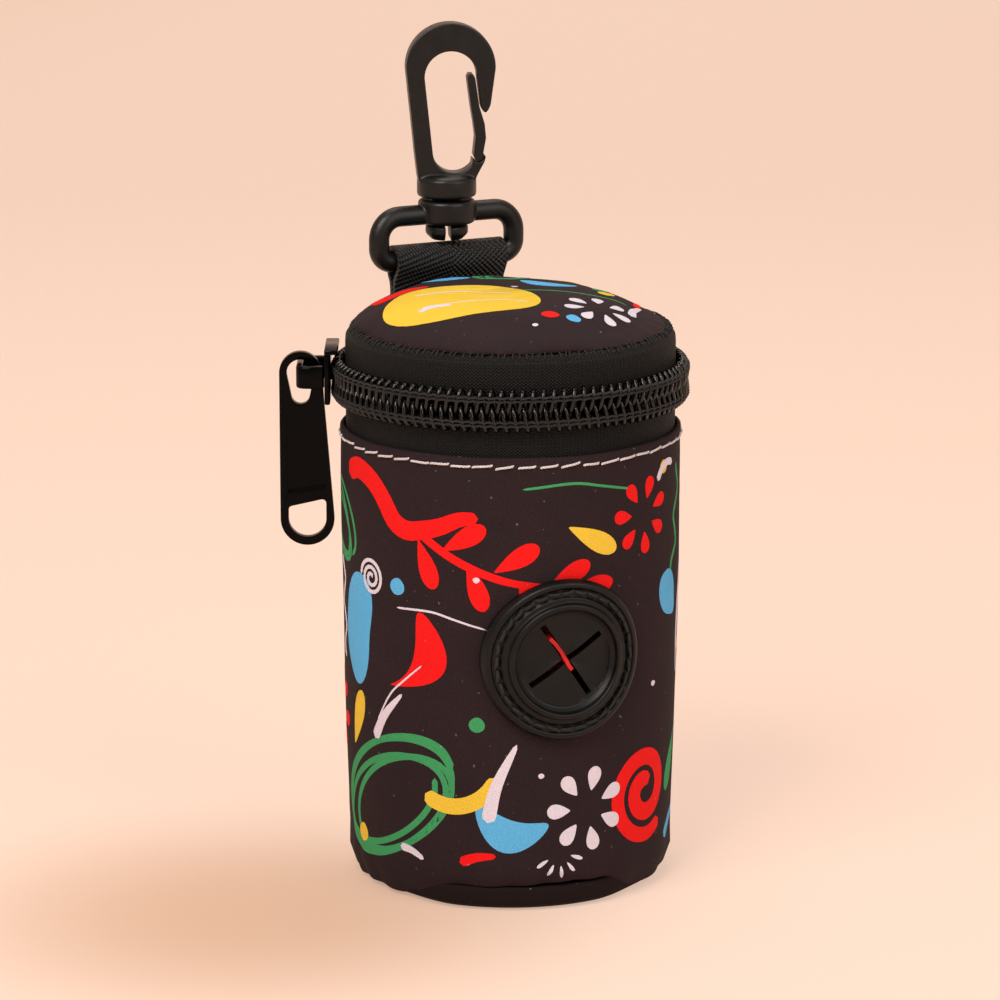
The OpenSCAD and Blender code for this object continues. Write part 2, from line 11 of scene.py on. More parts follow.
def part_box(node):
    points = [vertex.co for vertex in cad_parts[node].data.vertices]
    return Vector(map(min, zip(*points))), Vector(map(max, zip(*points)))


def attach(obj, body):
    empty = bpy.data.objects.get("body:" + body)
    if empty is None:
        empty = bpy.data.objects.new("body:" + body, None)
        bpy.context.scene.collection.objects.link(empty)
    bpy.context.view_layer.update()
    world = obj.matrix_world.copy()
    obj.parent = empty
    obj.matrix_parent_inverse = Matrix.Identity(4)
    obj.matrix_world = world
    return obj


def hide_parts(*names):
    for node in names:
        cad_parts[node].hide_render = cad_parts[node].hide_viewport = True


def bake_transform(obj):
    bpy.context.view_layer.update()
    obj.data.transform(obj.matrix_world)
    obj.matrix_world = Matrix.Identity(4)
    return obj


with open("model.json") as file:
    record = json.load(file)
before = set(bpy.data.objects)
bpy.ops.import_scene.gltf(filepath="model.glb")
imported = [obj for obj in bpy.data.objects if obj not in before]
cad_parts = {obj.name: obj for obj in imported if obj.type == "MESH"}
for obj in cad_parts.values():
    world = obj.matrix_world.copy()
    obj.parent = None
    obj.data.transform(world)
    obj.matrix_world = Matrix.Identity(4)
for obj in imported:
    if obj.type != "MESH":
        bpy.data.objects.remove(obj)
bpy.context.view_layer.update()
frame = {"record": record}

bl_info = {
    "name": "Bag Pouch Dressing",
    "version": (1, 0, 0),
    "blender": (4, 5, 0),
    "location": "3D View > Sidebar > Bag Pouch",
    "description": "Models and dresses a small zip-lid bag pouch with a rubber outlet and a snap hook",
    "category": "Add Mesh",
}

MM = 0.001
WELD = 0.00001


# ---- places and sizes read from the construction ----

def low(node):
    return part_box(node)[0]


def high(node):
    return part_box(node)[1]


JOINTS = {j["name"]: j for j in frame["record"]["behaviour"]["joints"]}
HEM_Z, HEM_R = high("body_shell").z, high("body_shell").x
WALL_LOW_Z = low("body_shell").z
BASE_R, BASE_RIM_Z = high("base_panel").x, high("base_panel").z
TAPE_R = high("upper_tape").x
HINGE_AT, BAR, PULL = (Vector(JOINTS[name]["pos_m"]) for name in ("lid_hinge", "ring_swing", "pull_swing"))
SEAM_Z = JOINTS["lid_hinge"]["pos_m"][2]
CHAIN_LOW, CHAIN_TOP = low("lower_coil").z, high("upper_coil").z
DOME_Z, DOME_TOP, DOME_R = low("lid_panel").z, high("lid_panel").z, high("lid_panel").x
OUTLET_Z = (low("outlet_grommet").z + high("outlet_grommet").z) / 2
OUTLET_R = high("outlet_grommet").x
HOOK_TOP = high("snap_hook").z
LOOP_R = hypot(BAR.x, BAR.y)
SLIDER_DEG, LOOP_DEG, HOOK_DEG = 162, 8, -12
# the slider stands at the left of this direction and the base shows below it
VIEW_TURN = radians(-18.2)
# the ring's hub over its bar, and the hook's parts under its top and over its collar, in millimetres
HUB_LOW, HUB_HIGH = BAR.z / MM + 5.6, BAR.z / MM + 9.4
HOOK_Z = HOOK_TOP / MM - 24.2
NOSE_Z, GATE_X, GATE_Z = HOOK_TOP / MM - 14, 4.9, HOOK_Z + 3.4


def shift(x, y, z):
    return Matrix.Translation((x, y, z))


def turned(angle, axis="Z"):
    return Matrix.Rotation(radians(angle), 4, axis)


def polar(co):
    """Distance from the pouch's axis and angle round it."""
    return hypot(co.x, co.y), atan2(co.y, co.x)


# ---- modelling helpers ----

def select_only(*pieces):
    if bpy.context.object and bpy.context.object.mode != "OBJECT":
        bpy.ops.object.mode_set(mode="OBJECT")
    bpy.ops.object.select_all(action="DESELECT")
    for piece in pieces:
        piece.select_set(True)
    bpy.context.view_layer.objects.active = pieces[0]


@contextmanager
def editing(piece, select="SELECT"):
    """Edit mode on one piece, with everything selected or nothing."""
    select_only(piece)
    bpy.ops.object.mode_set(mode="EDIT")
    bpy.ops.mesh.select_all(action=select)
    yield
    bpy.ops.object.mode_set(mode="OBJECT")


def added(name):
    """The piece that was just added, renamed."""
    piece = bpy.context.active_object
    piece.name = piece.data.name = name
    return piece


def copy_of(piece):
    copy = piece.copy()
    copy.data = piece.data.copy()
    bpy.context.collection.objects.link(copy)
    return copy


def modified(piece, kind, **settings):
    """Adds a modifier and applies it."""
    made = piece.modifiers.new(kind.title(), kind)
    for key, value in settings.items():
        setattr(made, key, value)
    select_only(piece)
    bpy.ops.object.modifier_apply(modifier=made.name)
    return piece


def bevel(piece, width, segments=3, angle=35):
    return modified(
        piece, "BEVEL", width=width, segments=segments, limit_method="ANGLE", angle_limit=radians(angle),
        use_clamp_overlap=True,
    )


def outward(piece, weld=True):
    """Turns every face outwards and welds seams and poles, unless patches that cross have to stay apart."""
    with editing(piece):
        if weld:
            bpy.ops.mesh.remove_doubles(threshold=WELD)
            bpy.ops.mesh.dissolve_degenerate(threshold=WELD / 2)
            bpy.ops.mesh.select_all(action="SELECT")
        bpy.ops.mesh.normals_make_consistent(inside=False)
    return piece


def joined(name, pieces):
    select_only(*pieces)
    if len(pieces) > 1:
        bpy.ops.object.join()
    return added(name)


def moved(piece, matrix):
    """Puts a piece in its place by moving its mesh."""
    piece.data.transform(matrix)
    piece.data.update()
    return piece


def reshape(piece, rule):
    """Moves every vertex by a rule, as fabric gives or rubber bends."""
    for vertex in piece.data.vertices:
        vertex.co = rule(vertex.co)
    piece.data.update()
    return piece


def line(name, points, closed=False):
    """A line of points: one vertex, extruded from place to place."""
    bpy.ops.object.select_all(action="DESELECT")
    bpy.ops.mesh.primitive_plane_add(size=MM)
    piece = added(name)
    bpy.ops.object.mode_set(mode="EDIT")
    bpy.ops.mesh.select_mode(type="VERT")
    bpy.ops.mesh.select_all(action="SELECT")
    bpy.ops.mesh.merge(type="CENTER")
    bpy.ops.transform.translate(value=points[0])
    for start, end in zip(points, points[1:] + points[:1] * closed):
        bpy.ops.mesh.extrude_vertices_move(TRANSFORM_OT_translate={"value": end - start})
    if closed:
        bpy.ops.mesh.select_all(action="SELECT")
        bpy.ops.mesh.remove_doubles(threshold=WELD / 4)
    bpy.ops.object.mode_set(mode="OBJECT")
    return piece


def filleted(corners, steps=5, closed=True):
    """Corners (x, z, radius) in millimetres as points in metres, each corner rounded to its radius."""
    points = []
    count = len(corners)
    for i, (x, z, radius) in enumerate(corners):
        here = Vector((x, z))
        if radius == 0 or (not closed and i in (0, count - 1)):
            points.append(here)
            continue
        before, after = Vector(corners[i - 1][:2]), Vector(corners[(i + 1) % count][:2])
        back, on = (before - here).normalized(), (after - here).normalized()
        half = back.angle(on) / 2
        reach = min(radius / tan(half), 0.49 * (before - here).length, 0.49 * (after - here).length)
        middle = here + (back + on).normalized() * (reach * tan(half)) / sin(half)
        start, end = here + back * reach - middle, here + on * reach - middle
        sweep = start.angle_signed(end)
        points += [middle + Matrix.Rotation(-sweep * step / steps, 2) @ start for step in range(steps + 1)]
    return to_metres(points)


def to_metres(points):
    return [Vector((x * MM, 0, z * MM)) for x, z in points]


def arc_points(x, z, r, from_deg, to_deg, steps):
    turns = [radians(from_deg + (to_deg - from_deg) * i / steps) for i in range(steps + 1)]
    return [(x + r * cos(a), z + r * sin(a)) for a in turns]


def hull_of_circles(high_circle, low_circle, steps):
    """Outline of a plate that runs from a small circle down to a larger one."""
    (x1, z1, r1), (x2, z2, r2) = high_circle, low_circle
    lean = degrees(asin((r2 - r1) / hypot(x1 - x2, z1 - z2)))
    tilt = degrees(atan2(x1 - x2, z1 - z2))
    return to_metres(
        arc_points(x1, z1, r1, lean - tilt, 180 - lean - tilt, steps)
        + arc_points(x2, z2, r2, 180 - lean - tilt, 360 + lean - tilt, steps)
    )


def lathe(name, profile, steps=128, closed=True, angle=360):
    """Spins a profile in the XZ plane about Z; a part turn is left open at its ends."""
    piece = line(name, profile, closed)
    with editing(piece):
        bpy.ops.mesh.spin(steps=steps, angle=radians(angle), center=(0, 0, 0), axis=(0, 0, -1))
    return outward(piece)


def capped(piece):
    """Closes the open ends of a piece that was spun through part of a turn."""
    with editing(piece, "DESELECT"):
        bpy.ops.mesh.select_non_manifold()
        bpy.ops.mesh.fill()
    return piece


def plate(name, loops, thickness):
    """A flat plate in the XZ plane, centred on Y, from an outline and its holes."""
    piece = joined(name, [line(f"{name}_{i}", loop, True) for i, loop in enumerate(loops)])
    with editing(piece):
        bpy.ops.mesh.fill(use_beauty=True)
        bpy.ops.mesh.select_all(action="SELECT")
        bpy.ops.transform.translate(value=(0, -thickness / 2, 0))
        bpy.ops.mesh.extrude_region_move(TRANSFORM_OT_translate={"value": (0, thickness, 0)})
    return outward(piece)


def swept(name, points, **shape):
    """A mesh swept along points on a curve."""
    curve = bpy.data.curves.new(name, "CURVE")
    curve.dimensions = "3D"
    for key, value in shape.items():
        setattr(curve, key, value)
    spline = curve.splines.new("POLY")
    spline.points.add(len(points) - 1)
    for at, point in zip(spline.points, points):
        at.co = (*point, 1)
    piece = bpy.data.objects.new(name, curve)
    bpy.context.collection.objects.link(piece)
    select_only(piece)
    bpy.ops.object.convert(target="MESH")
    return added(name)


def tube(name, points, radius, sides):
    """A round rod or thread along points."""
    return outward(swept(name, points, bevel_depth=radius, bevel_resolution=sides, use_fill_caps=True))


def cube(name, size, at=(0, 0, 0), turn=0.0):
    bpy.ops.object.select_all(action="DESELECT")
    bpy.ops.mesh.primitive_cube_add(size=1, location=at, rotation=(0, 0, turn))
    piece = added(name)
    piece.scale = size
    select_only(piece)
    bpy.ops.object.transform_apply(location=True, rotation=True, scale=True)
    return piece


def cut(piece, cutter):
    """Takes the cutter's shape out of a piece."""
    modified(piece, "BOOLEAN", operation="DIFFERENCE", object=cutter, solver="EXACT")
    bpy.data.objects.remove(cutter)
    return piece


def smooth(piece, angle):
    select_only(piece)
    bpy.ops.object.shade_smooth_by_angle(angle=radians(angle))
    return piece


def finished(piece, angle, body, node, material):
    """Smooths a piece and gives it its body, the node it stands for and its material."""
    smooth(piece, angle)
    if body:
        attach(piece, body)
    if node:
        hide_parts(node)
    piece.data.materials.clear()
    piece.data.materials.append(pouch_materials()[material])
    return piece


# ---- material helpers ----

def linear(hex_colour, alpha=1.0):
    """An sRGB hex colour as linear RGBA."""
    parts = [int(hex_colour[i:i + 2], 16) / 255 for i in (1, 3, 5)]
    return [p / 12.92 if p <= 0.04045 else ((p + 0.055) / 1.055) ** 2.4 for p in parts] + [alpha]


def add_node(tree, kind, settings=None, **links):
    """Adds a node: settings are its attributes, and each link or value goes to the input of that name."""
    node = tree.nodes.new(kind)
    for key, value in (settings or {}).items():
        setattr(node, key, value)
    for key, value in links.items():
        socket = node.inputs[int(key[2:])] if key in ("in0", "in1", "in2") else node.inputs[key.replace("_", " ")]
        if isinstance(value, bpy.types.NodeSocket):
            tree.links.new(value, socket)
        else:
            socket.default_value = value
    return node


class Pattern:
    """A material with its shader, and short names for the sums its pattern is made of."""

    def __init__(self, name, roughness=0.5, specular=0.5):
        self.material = bpy.data.materials.new(name)
        self.material.use_nodes = True
        self.tree = self.material.node_tree
        self.shader = self.tree.nodes["Principled BSDF"]
        self.place = self.node("TexCoord").outputs["Object"]
        self.settle(Roughness=roughness, Specular_IOR_Level=specular)

    def node(self, kind, settings=None, **links):
        return add_node(self.tree, "ShaderNode" + kind, settings, **links)

    def settle(self, **values):
        for key, value in values.items():
            self.shader.inputs[key.replace("_", " ")].default_value = value

    def math(self, operation, first, second=0.0):
        return self.node("Math", {"operation": operation}, in0=first, in1=second).outputs[0]

    def add(self, first, second):
        return self.math("ADD", first, second)

    def mul(self, first, second):
        return self.math("MULTIPLY", first, second)

    def wave(self, along, pitch):
        return self.math("SINE", self.mul(along, tau / pitch))

    def round_axis(self, radius):
        """Object coordinates unrolled round the pouch: along the rim and up, in millimetres."""
        split = self.node("SeparateXYZ", Vector=self.place)
        angle = self.math("ARCTAN2", split.outputs["Y"], split.outputs["X"])
        return self.mul(angle, radius / MM), self.mul(split.outputs["Z"], 1 / MM)

    def noise(self, per_mm, detail=4.0, rough=0.55):
        """Cloudy variation with so many blots per millimetre, on metre coordinates."""
        return self.node(
            "TexNoise", Vector=self.place, Scale=per_mm / MM, Detail=detail, Roughness=rough
        ).outputs["Fac"]

    def tinted(self, factor, dark, light):
        ramp = self.node("ValToRGB", Fac=factor)
        for end, colour, position in zip(ramp.color_ramp.elements, (dark, light), (0.3, 0.7)):
            end.color, end.position = linear(colour), position
        return ramp.outputs["Color"]

    def join(self, output, name):
        self.tree.links.new(output, self.shader.inputs[name])

    def finish(self, colour, height, depth, strength=1.0):
        """Joins colour and height patterns to the shader; depth is the real relief in metres."""
        self.join(colour, "Base Color")
        self.join(self.node("Bump", Strength=strength, Distance=depth, Height=height).outputs["Normal"], "Normal")
        return self.material


# ---- finishes ----

def cloth_finish(name, colour, colour_dark, sheen=0.05):
    """Scuba knit over foam, printed by heat: matte, with fine knit loops and a faint fuzz that softens edges."""
    p = Pattern(name, 0.86, 0.18)
    along, up = p.round_axis(HEM_R)
    # knit loops are 0.3 mm apart; they are drawn at 0.45 mm, the finest that still shows
    loops = p.mul(p.wave(along, 0.45), p.wave(up, 0.45))
    fuzz = p.noise(3.2, 5.0, 0.7)
    lint = p.math("GREATER_THAN", p.noise(1.35, 2.0, 0.4), 0.76)
    ground = p.tinted(p.add(p.mul(fuzz, 0.65), p.mul(p.noise(0.12, 3.0), 0.35)), colour_dark, colour)
    flecked = p.node("MixRGB", {"blend_type": "SCREEN"}, Fac=p.mul(lint, 0.07), Color1=ground, Color2=linear("#FFFFFF"))
    p.settle(Sheen_Weight=sheen, Sheen_Roughness=0.5, Sheen_Tint=linear(colour))
    return p.finish(flecked.outputs["Color"], p.add(p.mul(loops, 0.35), p.mul(fuzz, 1.2)), 0.06 * MM, 0.6)


def tape_finish():
    """Woven polyester tape: close upright warp ribs with a low shine, their grooves painted darker than the ribs as
    painted shade.
    """
    p = Pattern("woven_polyester_tape", 0.7, 0.2)
    along, up = p.round_axis(TAPE_R)
    fibre, rib = p.noise(2.6, 5.0, 0.7), p.wave(along, 0.62)
    weave = p.add(p.mul(rib, p.wave(up, 0.5)), p.mul(rib, 0.5))
    # painted shade: the weave's ribs are mixed into the colour, so the grooves come out darker than the rib tops
    colour = p.tinted(p.add(p.mul(weave, 0.2), fibre), "#030303", "#121010")
    return p.finish(colour, p.add(weave, p.mul(fibre, 2.2)), 0.09 * MM)


def webbing_finish():
    """Nylon webbing in a close basket weave that turns to a slant on one side of its middle, softly shiny."""
    p = Pattern("basket_nylon_webbing", 0.5, 0.4)
    split = p.node("SeparateXYZ", Vector=p.node("UVMap", {"uv_map": "UVMap"}).outputs["UV"])
    across, along = p.mul(split.outputs["X"], 1 / MM), p.mul(split.outputs["Y"], 1 / MM)
    slant = p.mul(p.mul(across, 0.55), p.math("LESS_THAN", across, 0.0))
    knots = p.mul(p.wave(across, 0.95), p.wave(p.add(along, slant), 0.8))
    fibre = p.noise(3.0, 4.0, 0.7)
    # painted shade: the knots are mixed into the colour, so the hollows between them come out darker than the knots
    colour = p.tinted(p.add(p.mul(knots, 0.35), fibre), "#040404", "#1C1B1D")
    return p.finish(colour, p.add(knots, p.mul(fibre, 0.8)), 0.18 * MM)


def moulded_finish(name, dark, light, roughness, grain_per_mm, grain_depth, coat=0.0, specular=0.5):
    """Moulded or cast pieces: an even colour, a fine grain from the mould and faint handling marks in the gloss."""
    p = Pattern(name, roughness, specular)
    cloud = p.noise(0.35, 3.0)
    spread = p.node(
        "MapRange", Value=cloud, From_Min=0.3, From_Max=0.7, To_Min=roughness - 0.06, To_Max=roughness + 0.06
    )
    p.join(spread.outputs["Result"], "Roughness")
    p.settle(Coat_Weight=coat, Coat_Roughness=0.08)
    return p.finish(p.tinted(cloud, dark, light), p.noise(grain_per_mm, 3.0, 0.6), grain_depth * MM, 0.5)


def thread_finish(name, dark, light):
    """Spun polyester thread: two strands twisted together, slightly hairy."""
    p = Pattern(name, 0.75)
    along, up = p.round_axis(HEM_R)
    twist, hair = p.wave(p.add(along, p.mul(up, 1.6)), 0.55), p.noise(4.0, 3.0, 0.7)
    # painted shade: the twist is mixed into the colour, so the grooves between the strands come out darker
    return p.finish(p.tinted(p.add(p.mul(twist, 0.22), hair), dark, light), p.add(twist, hair), 0.06 * MM, 0.8)


def film_finish():
    """Thin polyethylene bag film: a soft gloss, with creases that catch the light."""
    p = Pattern("polyethylene_film", 0.46, 0.3)
    crease = p.node("TexVoronoi", {"feature": "DISTANCE_TO_EDGE"}, Vector=p.place, Scale=0.3 / MM)
    return p.finish(p.tinted(p.noise(0.3), "#960A0E", "#BC1211"), crease.outputs["Distance"], 0.05 * MM, 0.4)


def card_finish():
    """Grey-brown card tube: matte paper with short fibres."""
    p = Pattern("card", 0.92)
    fibre = p.noise(1.8, 6.0, 0.75)
    return p.finish(p.tinted(fibre, "#A39277", "#C6B79D"), fibre, 0.04 * MM, 0.6)


def floor_finish(colours):
    """Seamless peach card, lit so evenly that only the soft shadow shows, with two darker pools of painted shade on it;
    the camera sees most of its own colour.
    """
    p = Pattern("peach_card", 0.9, 0.1)
    split = p.node("SeparateXYZ", Vector=p.place)
    card = linear(hex_of(colours.floor))
    # painted shade: two darker pools are painted on the card, a painted shadow in front on the left and a painted
    # falloff of the studio's light far behind on the left
    for x, y, reach, painted_shade in ((-0.040, -0.026, 0.058, "#DCB59A"), (-0.26, 1.0, 0.24, "#EFC9AD")):
        aside, ahead = (
            p.math("POWER", p.math("DIVIDE", p.math("SUBTRACT", split.outputs[axis], at), reach), 2)
            for axis, at in (("X", x), ("Y", y))
        )
        near = p.node(
            "MapRange", {"interpolation_type": "SMOOTHERSTEP"}, Value=p.math("SQRT", p.add(aside, ahead)),
            From_Min=1.25, From_Max=0.0, To_Min=0.0, To_Max=1.0,
        ).outputs["Result"]
        card = p.node("MixRGB", Fac=near, Color1=card, Color2=linear(painted_shade)).outputs["Color"]
    p.join(card, "Base Color")
    rays = p.node("LightPath").outputs
    seen = p.math("MAXIMUM", rays["Is Camera Ray"], p.math(
        "MAXIMUM", rays["Is Glossy Ray"], rays["Is Transmission Ray"]
    ))
    glow = p.node("Emission", Color=card, Strength=0.94)
    mix = p.node(
        "MixShader", Fac=p.mul(seen, 0.66), in1=p.shader.outputs["BSDF"], in2=glow.outputs["Emission"]
    )
    p.tree.links.new(mix.outputs["Shader"], p.tree.nodes["Material Output"].inputs["Surface"])
    return p.material


MATERIALS = {}


def pouch_materials():
    """The pouch's materials, made once from the colours in the panel."""
    if MATERIALS:
        return MATERIALS
    dyes = bpy.context.scene.pouch_colours
    moulded = {
        "nylon_coil": ("nylon_monofilament", "#030303", "#070706", 0.14, 1.5, 0.015, 0.0, 0.4),
        "black_enamel": ("black_enamel", "#010101", "#030303", 0.16, 0.8, 0.01, 0.03, 0.06),
        "moulded_rubber": ("moulded_silicone_rubber", "#040404", "#090808", 0.43, 4.0, 0.03, 0.0, 0.24),
        "acetal": ("moulded_acetal", "#080707", "#0F0D0D", 0.38, 3.0, 0.02, 0.0, 0.3),
    }
    MATERIALS.update({
        "print_cloth": cloth_finish("printed_scuba_knit", hex_of(dyes.cloth), "#1C1216"),
        # painted shade: the base cloth is coloured darker and redder than the wall, to the shade under the pouch's
        # rounded foot
        "base_cloth": cloth_finish("plain_scuba_knit", "#150708", "#0D0404"),
        "ribbed_tape": tape_finish(),
        "webbing": webbing_finish(),
        "white_thread": thread_finish("white_polyester_thread", "#A9A0A6", "#DCD4D8"),
        "black_thread": thread_finish("black_polyester_thread", "#050404", "#141112"),
        "bag_film": film_finish(),
        "core_card": card_finish(),
    })
    MATERIALS.update({key: moulded_finish(*values) for key, values in moulded.items()})
    for dye, dark in (
        ("red", "#C80D0E"), ("yellow", "#C5A42F"), ("blue", "#4996C6"), ("green", "#2F7F50"), ("white", "#BAB3C2")
    ):
        MATERIALS["dye_" + dye] = cloth_finish("dyed_knit_" + dye, hex_of(getattr(dyes, dye)), dark, 0.0)
    return MATERIALS


def hex_of(colour):
    """The panel's linear colour as an sRGB hex value."""
    parts = [c * 12.92 if c <= 0.0031308 else 1.055 * c ** (1 / 2.4) - 0.055 for c in colour[:3]]
    return "#" + "".join(f"{round(max(0, min(1, p)) * 255):02X}" for p in parts)


# ---- the pieces ----

class POUCH_OT_walls(bpy.types.Operator):
    """Pouch wall, a padded cloth tube with a folded hem, and the base sewn into it"""

    bl_idname = "pouch.walls"
    bl_label = "Pouch Wall and Base"

    def execute(self, context):
        wall = context.scene.pouch_sizes.wall / MM
        # the tape is 0.6 thick, with 0.1 of room on both of its sides
        inner, outer = (TAPE_R - 0.6 * MM) / MM - 0.1, TAPE_R / MM + 0.1
        hem_z, hem_r, low_z = HEM_Z / MM, HEM_R / MM, WALL_LOW_Z / MM
        lip, rows = 0.34, 30
        heights = [low_z + (hem_z - low_z) * i / (rows + 1) for i in range(1, rows + 1)]
        cloth = lathe("pouch_cloth", filleted(
            [(wall_r(low_z) - 0.5, low_z, 0.45)]
            + [(wall_r(z) + (0.25 if z == heights[0] else 0), z, 0) for z in heights]
            + [(hem_r, hem_z, lip), (outer, hem_z, lip * 0.9), (outer, hem_z - 4.7, 0), (inner, hem_z - 4.7, 0)]
            + [(inner, hem_z, lip * 0.9), (hem_r - wall, hem_z, lip)]
            + [(wall_r(z) - wall, z, 0) for z in heights[::-2]]
            + [(wall_r(low_z) - wall, low_z, 0.3)]
        ), 160)
        bpy.ops.mesh.primitive_cylinder_add(
            radius=8.2 * MM + 0.4 * MM, depth=30 * MM, vertices=64, location=(0, -HEM_R, OUTLET_Z),
            rotation=(pi / 2, 0, 0),
        )
        cut(cloth, bpy.context.active_object)
        finished(reshape(cloth, cloth_gives), 50, "pouch", "body_shell", "print_cloth")

        rim, floor_r = BASE_RIM_Z / MM - 0.05, BASE_R / MM
        base = lathe("base_cloth", filleted([
            (0, 0.25, 0), (8, 0.22, 0), (16, 0.05, 0), (22.8, 0.0, 1.2), (floor_r - 0.2, 0.9, 1.0),
            (floor_r - 0.1, 2.2, 0), (floor_r - 0.1, rim, 0.5), (floor_r - 1.2, rim, 0.4),
            (floor_r - 2.2, rim - 0.95, 0.6), (floor_r - 2.6, 2.25, 0.3), (12, 2.2, 0), (0, 2.2, 0),
        ], closed=False), closed=False)
        finished(reshape(base, base_gives), 50, "pouch", "base_panel", "base_cloth")

        ends = [(wall_r(z) - wall - 0.12, z) for z in (low_z, hem_z - 2)]
        binding = capped(lathe("seam_binding", filleted(
            [(ends[0][0] - 0.9, ends[0][1], 0)] + [(r, z, 0) for r, z in ends] + [(ends[1][0] - 0.9, ends[1][1], 0)]
        ), 8, angle=23))
        moved(outward(binding), turned(90 - 11.5))
        finished(
            bevel(binding, 0.2 * MM, 2), 40, "pouch", "side_seam_binding", "ribbed_tape"
        )
        return {"FINISHED"}


def wall_r(z):
    """Outside radius of the pouch wall at a height, all in millimetres: a slight cone."""
    low_z, high_z = BASE_RIM_Z / MM, HEM_Z / MM
    return (BASE_R + (HEM_R - BASE_R) * (z - low_z) / (high_z - low_z)) / MM


def sway(angle, z, seed=0.0):
    """Soft, repeatable unevenness of sewn cloth round the pouch, from -1 to 1."""
    return (
        0.5 * sin(2 * angle + 0.05 * z + seed) + 0.3 * sin(5 * angle - 0.11 * z + 1.7 + 2 * seed)
        + 0.2 * sin(9 * angle + 0.23 * z + 0.6 - seed)
    )


def hump(x, width):
    """A smooth rise to 1 where x is 0."""
    return exp(-(x / width) ** 2)


def gathers(angle):
    """Puckers of the base seam, from -1 to 1."""
    return sin(23 * angle + 2.2 * sin(4 * angle))


def cloth_gives(co):
    """Padded cloth swells between its seams, dips at the topstitch and puckers at the base seam."""
    radius, angle = polar(co)
    z = co.z / MM
    low_z, high_z = WALL_LOW_Z / MM, HEM_Z / MM
    f = min(max((z - low_z) / (high_z - low_z), 0), 1)
    give = lift = 0.0
    if radius / MM > wall_r(z) - 1.0:
        give += 0.26 * sin(pi * f) ** 0.6
        give += 0.16 * sway(angle, z) * min(1, 6 * f, 8 * (1 - f))
        give -= hump(z - (high_z - 1.3), 0.55) * (0.15 + 0.07 * cos(49 * angle))
        give += 0.10 * hump(z - (high_z - 0.4), 0.35)
        give -= 0.12 * hump(z - (high_z - 3.0), 0.9) * (0.5 + 0.5 * cos(17 * angle + 2 * sin(3 * angle)))
        give += 0.22 * hump(z - low_z, 3.2) * gathers(angle)
        from_outlet = hypot(angle_from_front(angle) * radius / MM, z - OUTLET_Z / MM)
        give -= 0.30 * hump(from_outlet - 12.6, 1.5)
    scale = 1 + give * MM / max(radius, MM)
    if f > 0.9:
        lift = 0.16 * sway(angle, 0, 2.0) * (f - 0.9) / 0.1
    if f < 0.08:
        share = (0.08 - f) / 0.08
        lift = (0.4 * sway(angle, 0, 4.0) - (low_z - 0.75) * tucked(angle)) * share
        scale -= 0.7 * MM * tucked(angle) * share ** 2 / max(radius, MM)
    return Vector((co.x * scale, co.y * scale, co.z + lift * MM))


def tucked(angle):
    """How far the wall is drawn down over the base: fully, from 0 to 1, except where the base shows in front."""
    aside = abs(degrees(angle_from_front(angle)) + 12)
    f = min(max((aside + 5 * sway(angle, 0, 2.0) - 26) / 26, 0), 1)
    return f * f * (3 - 2 * f)


def angle_from_front(angle):
    """Angle from the outlet's direction, between minus and plus half a turn."""
    return (angle + pi / 2 + pi) % tau - pi


def base_gives(co):
    """The base's rim puckers with the seam and is drawn in where the wall covers it."""
    radius, angle = polar(co)
    if radius < 20 * MM:
        return co
    f = min(co.z / BASE_RIM_Z, 1)
    give = 0.16 * sway(angle, co.z / MM, 1.0) * f - 0.12 * f * (0.5 + 0.5 * gathers(angle)) - 1.1 * tucked(angle)
    scale = 1 + give * MM / radius
    return Vector((co.x * scale, co.y * scale, co.z))


def on_wall(co):
    """Bends a flat piece, whose minus Y is outwards from the cloth, round the pouch wall at the outlet."""
    z = OUTLET_Z + co.z
    return Vector((co.x, -sqrt((wall_r(z / MM) * MM - co.y) ** 2 - co.x ** 2), z))


def sewn(name, first, places):
    """Copies of one stitch in all its places, as one piece."""
    copies = [moved(copy_of(first), place) for place in places]
    bpy.data.objects.remove(first)
    return joined(name, copies)


class POUCH_OT_stitches(bpy.types.Operator):
    """White topstitch round the hem and black stitches round the outlet, each one a length of thread"""

    bl_idname = "pouch.stitches"
    bl_label = "Stitches"

    def execute(self, context):
        sizes = context.scene.pouch_sizes
        rng = random.Random(11)
        half = sizes.stitch_length / 2
        first = tube("stitch", [Vector((x * MM, half * y, z * MM)) for x, y, z in (
            (-0.1, -1, -0.12), (0.12, -0.88, -0.03), (0.19, -0.4, 0), (0.2, 0, 0), (0.19, 0.4, 0), (0.12, 0.88, 0.03),
            (-0.1, 1, 0.12),
        )], sizes.thread / 2, 2)
        z = HEM_Z - 1.3 * MM
        places = []
        for angle in (tau * i / sizes.hem_stitches for i in range(sizes.hem_stitches)):
            skew = Matrix.Rotation(rng.uniform(-0.10, 0.10) + 0.05, 4, "X")
            skew @= Matrix.Scale(rng.uniform(0.86, 1.06), 4, (0, 1, 0))
            rise = 0.08 * sway(angle, 0, 2.0) + rng.uniform(-0.12, 0.12)
            out = shift((wall_r(z / MM) + rng.uniform(0.0, 0.05)) * MM, 0, z + rise * MM)
            places.append(Matrix.Rotation(angle, 4, "Z") @ out @ skew)
        finished(sewn("hem_thread", first, places), 60, "pouch", "hem_stitching", "white_thread")

        first = tube("outlet_stitch", [Vector((x * MM, y * MM, 0)) for x, y in (
            (-0.88, 0.1), (-0.6, -0.2), (0, -0.34), (0.6, -0.2), (0.88, 0.1),
        )], 0.26 * MM, 2)
        count, out = sizes.outlet_stitches, shift(0, -1.72 * MM, sizes.outlet_stitch_radius)
        ring = sewn("outlet_thread", first, [
            Matrix.Rotation(tau * i / count, 4, "Y") @ out @ Matrix.Rotation(rng.uniform(-0.22, 0.22), 4, "Y")
            for i in range(count)
        ])
        finished(reshape(ring, on_wall), 60, "pouch", "outlet_stitching", "black_thread")
        return {"FINISHED"}


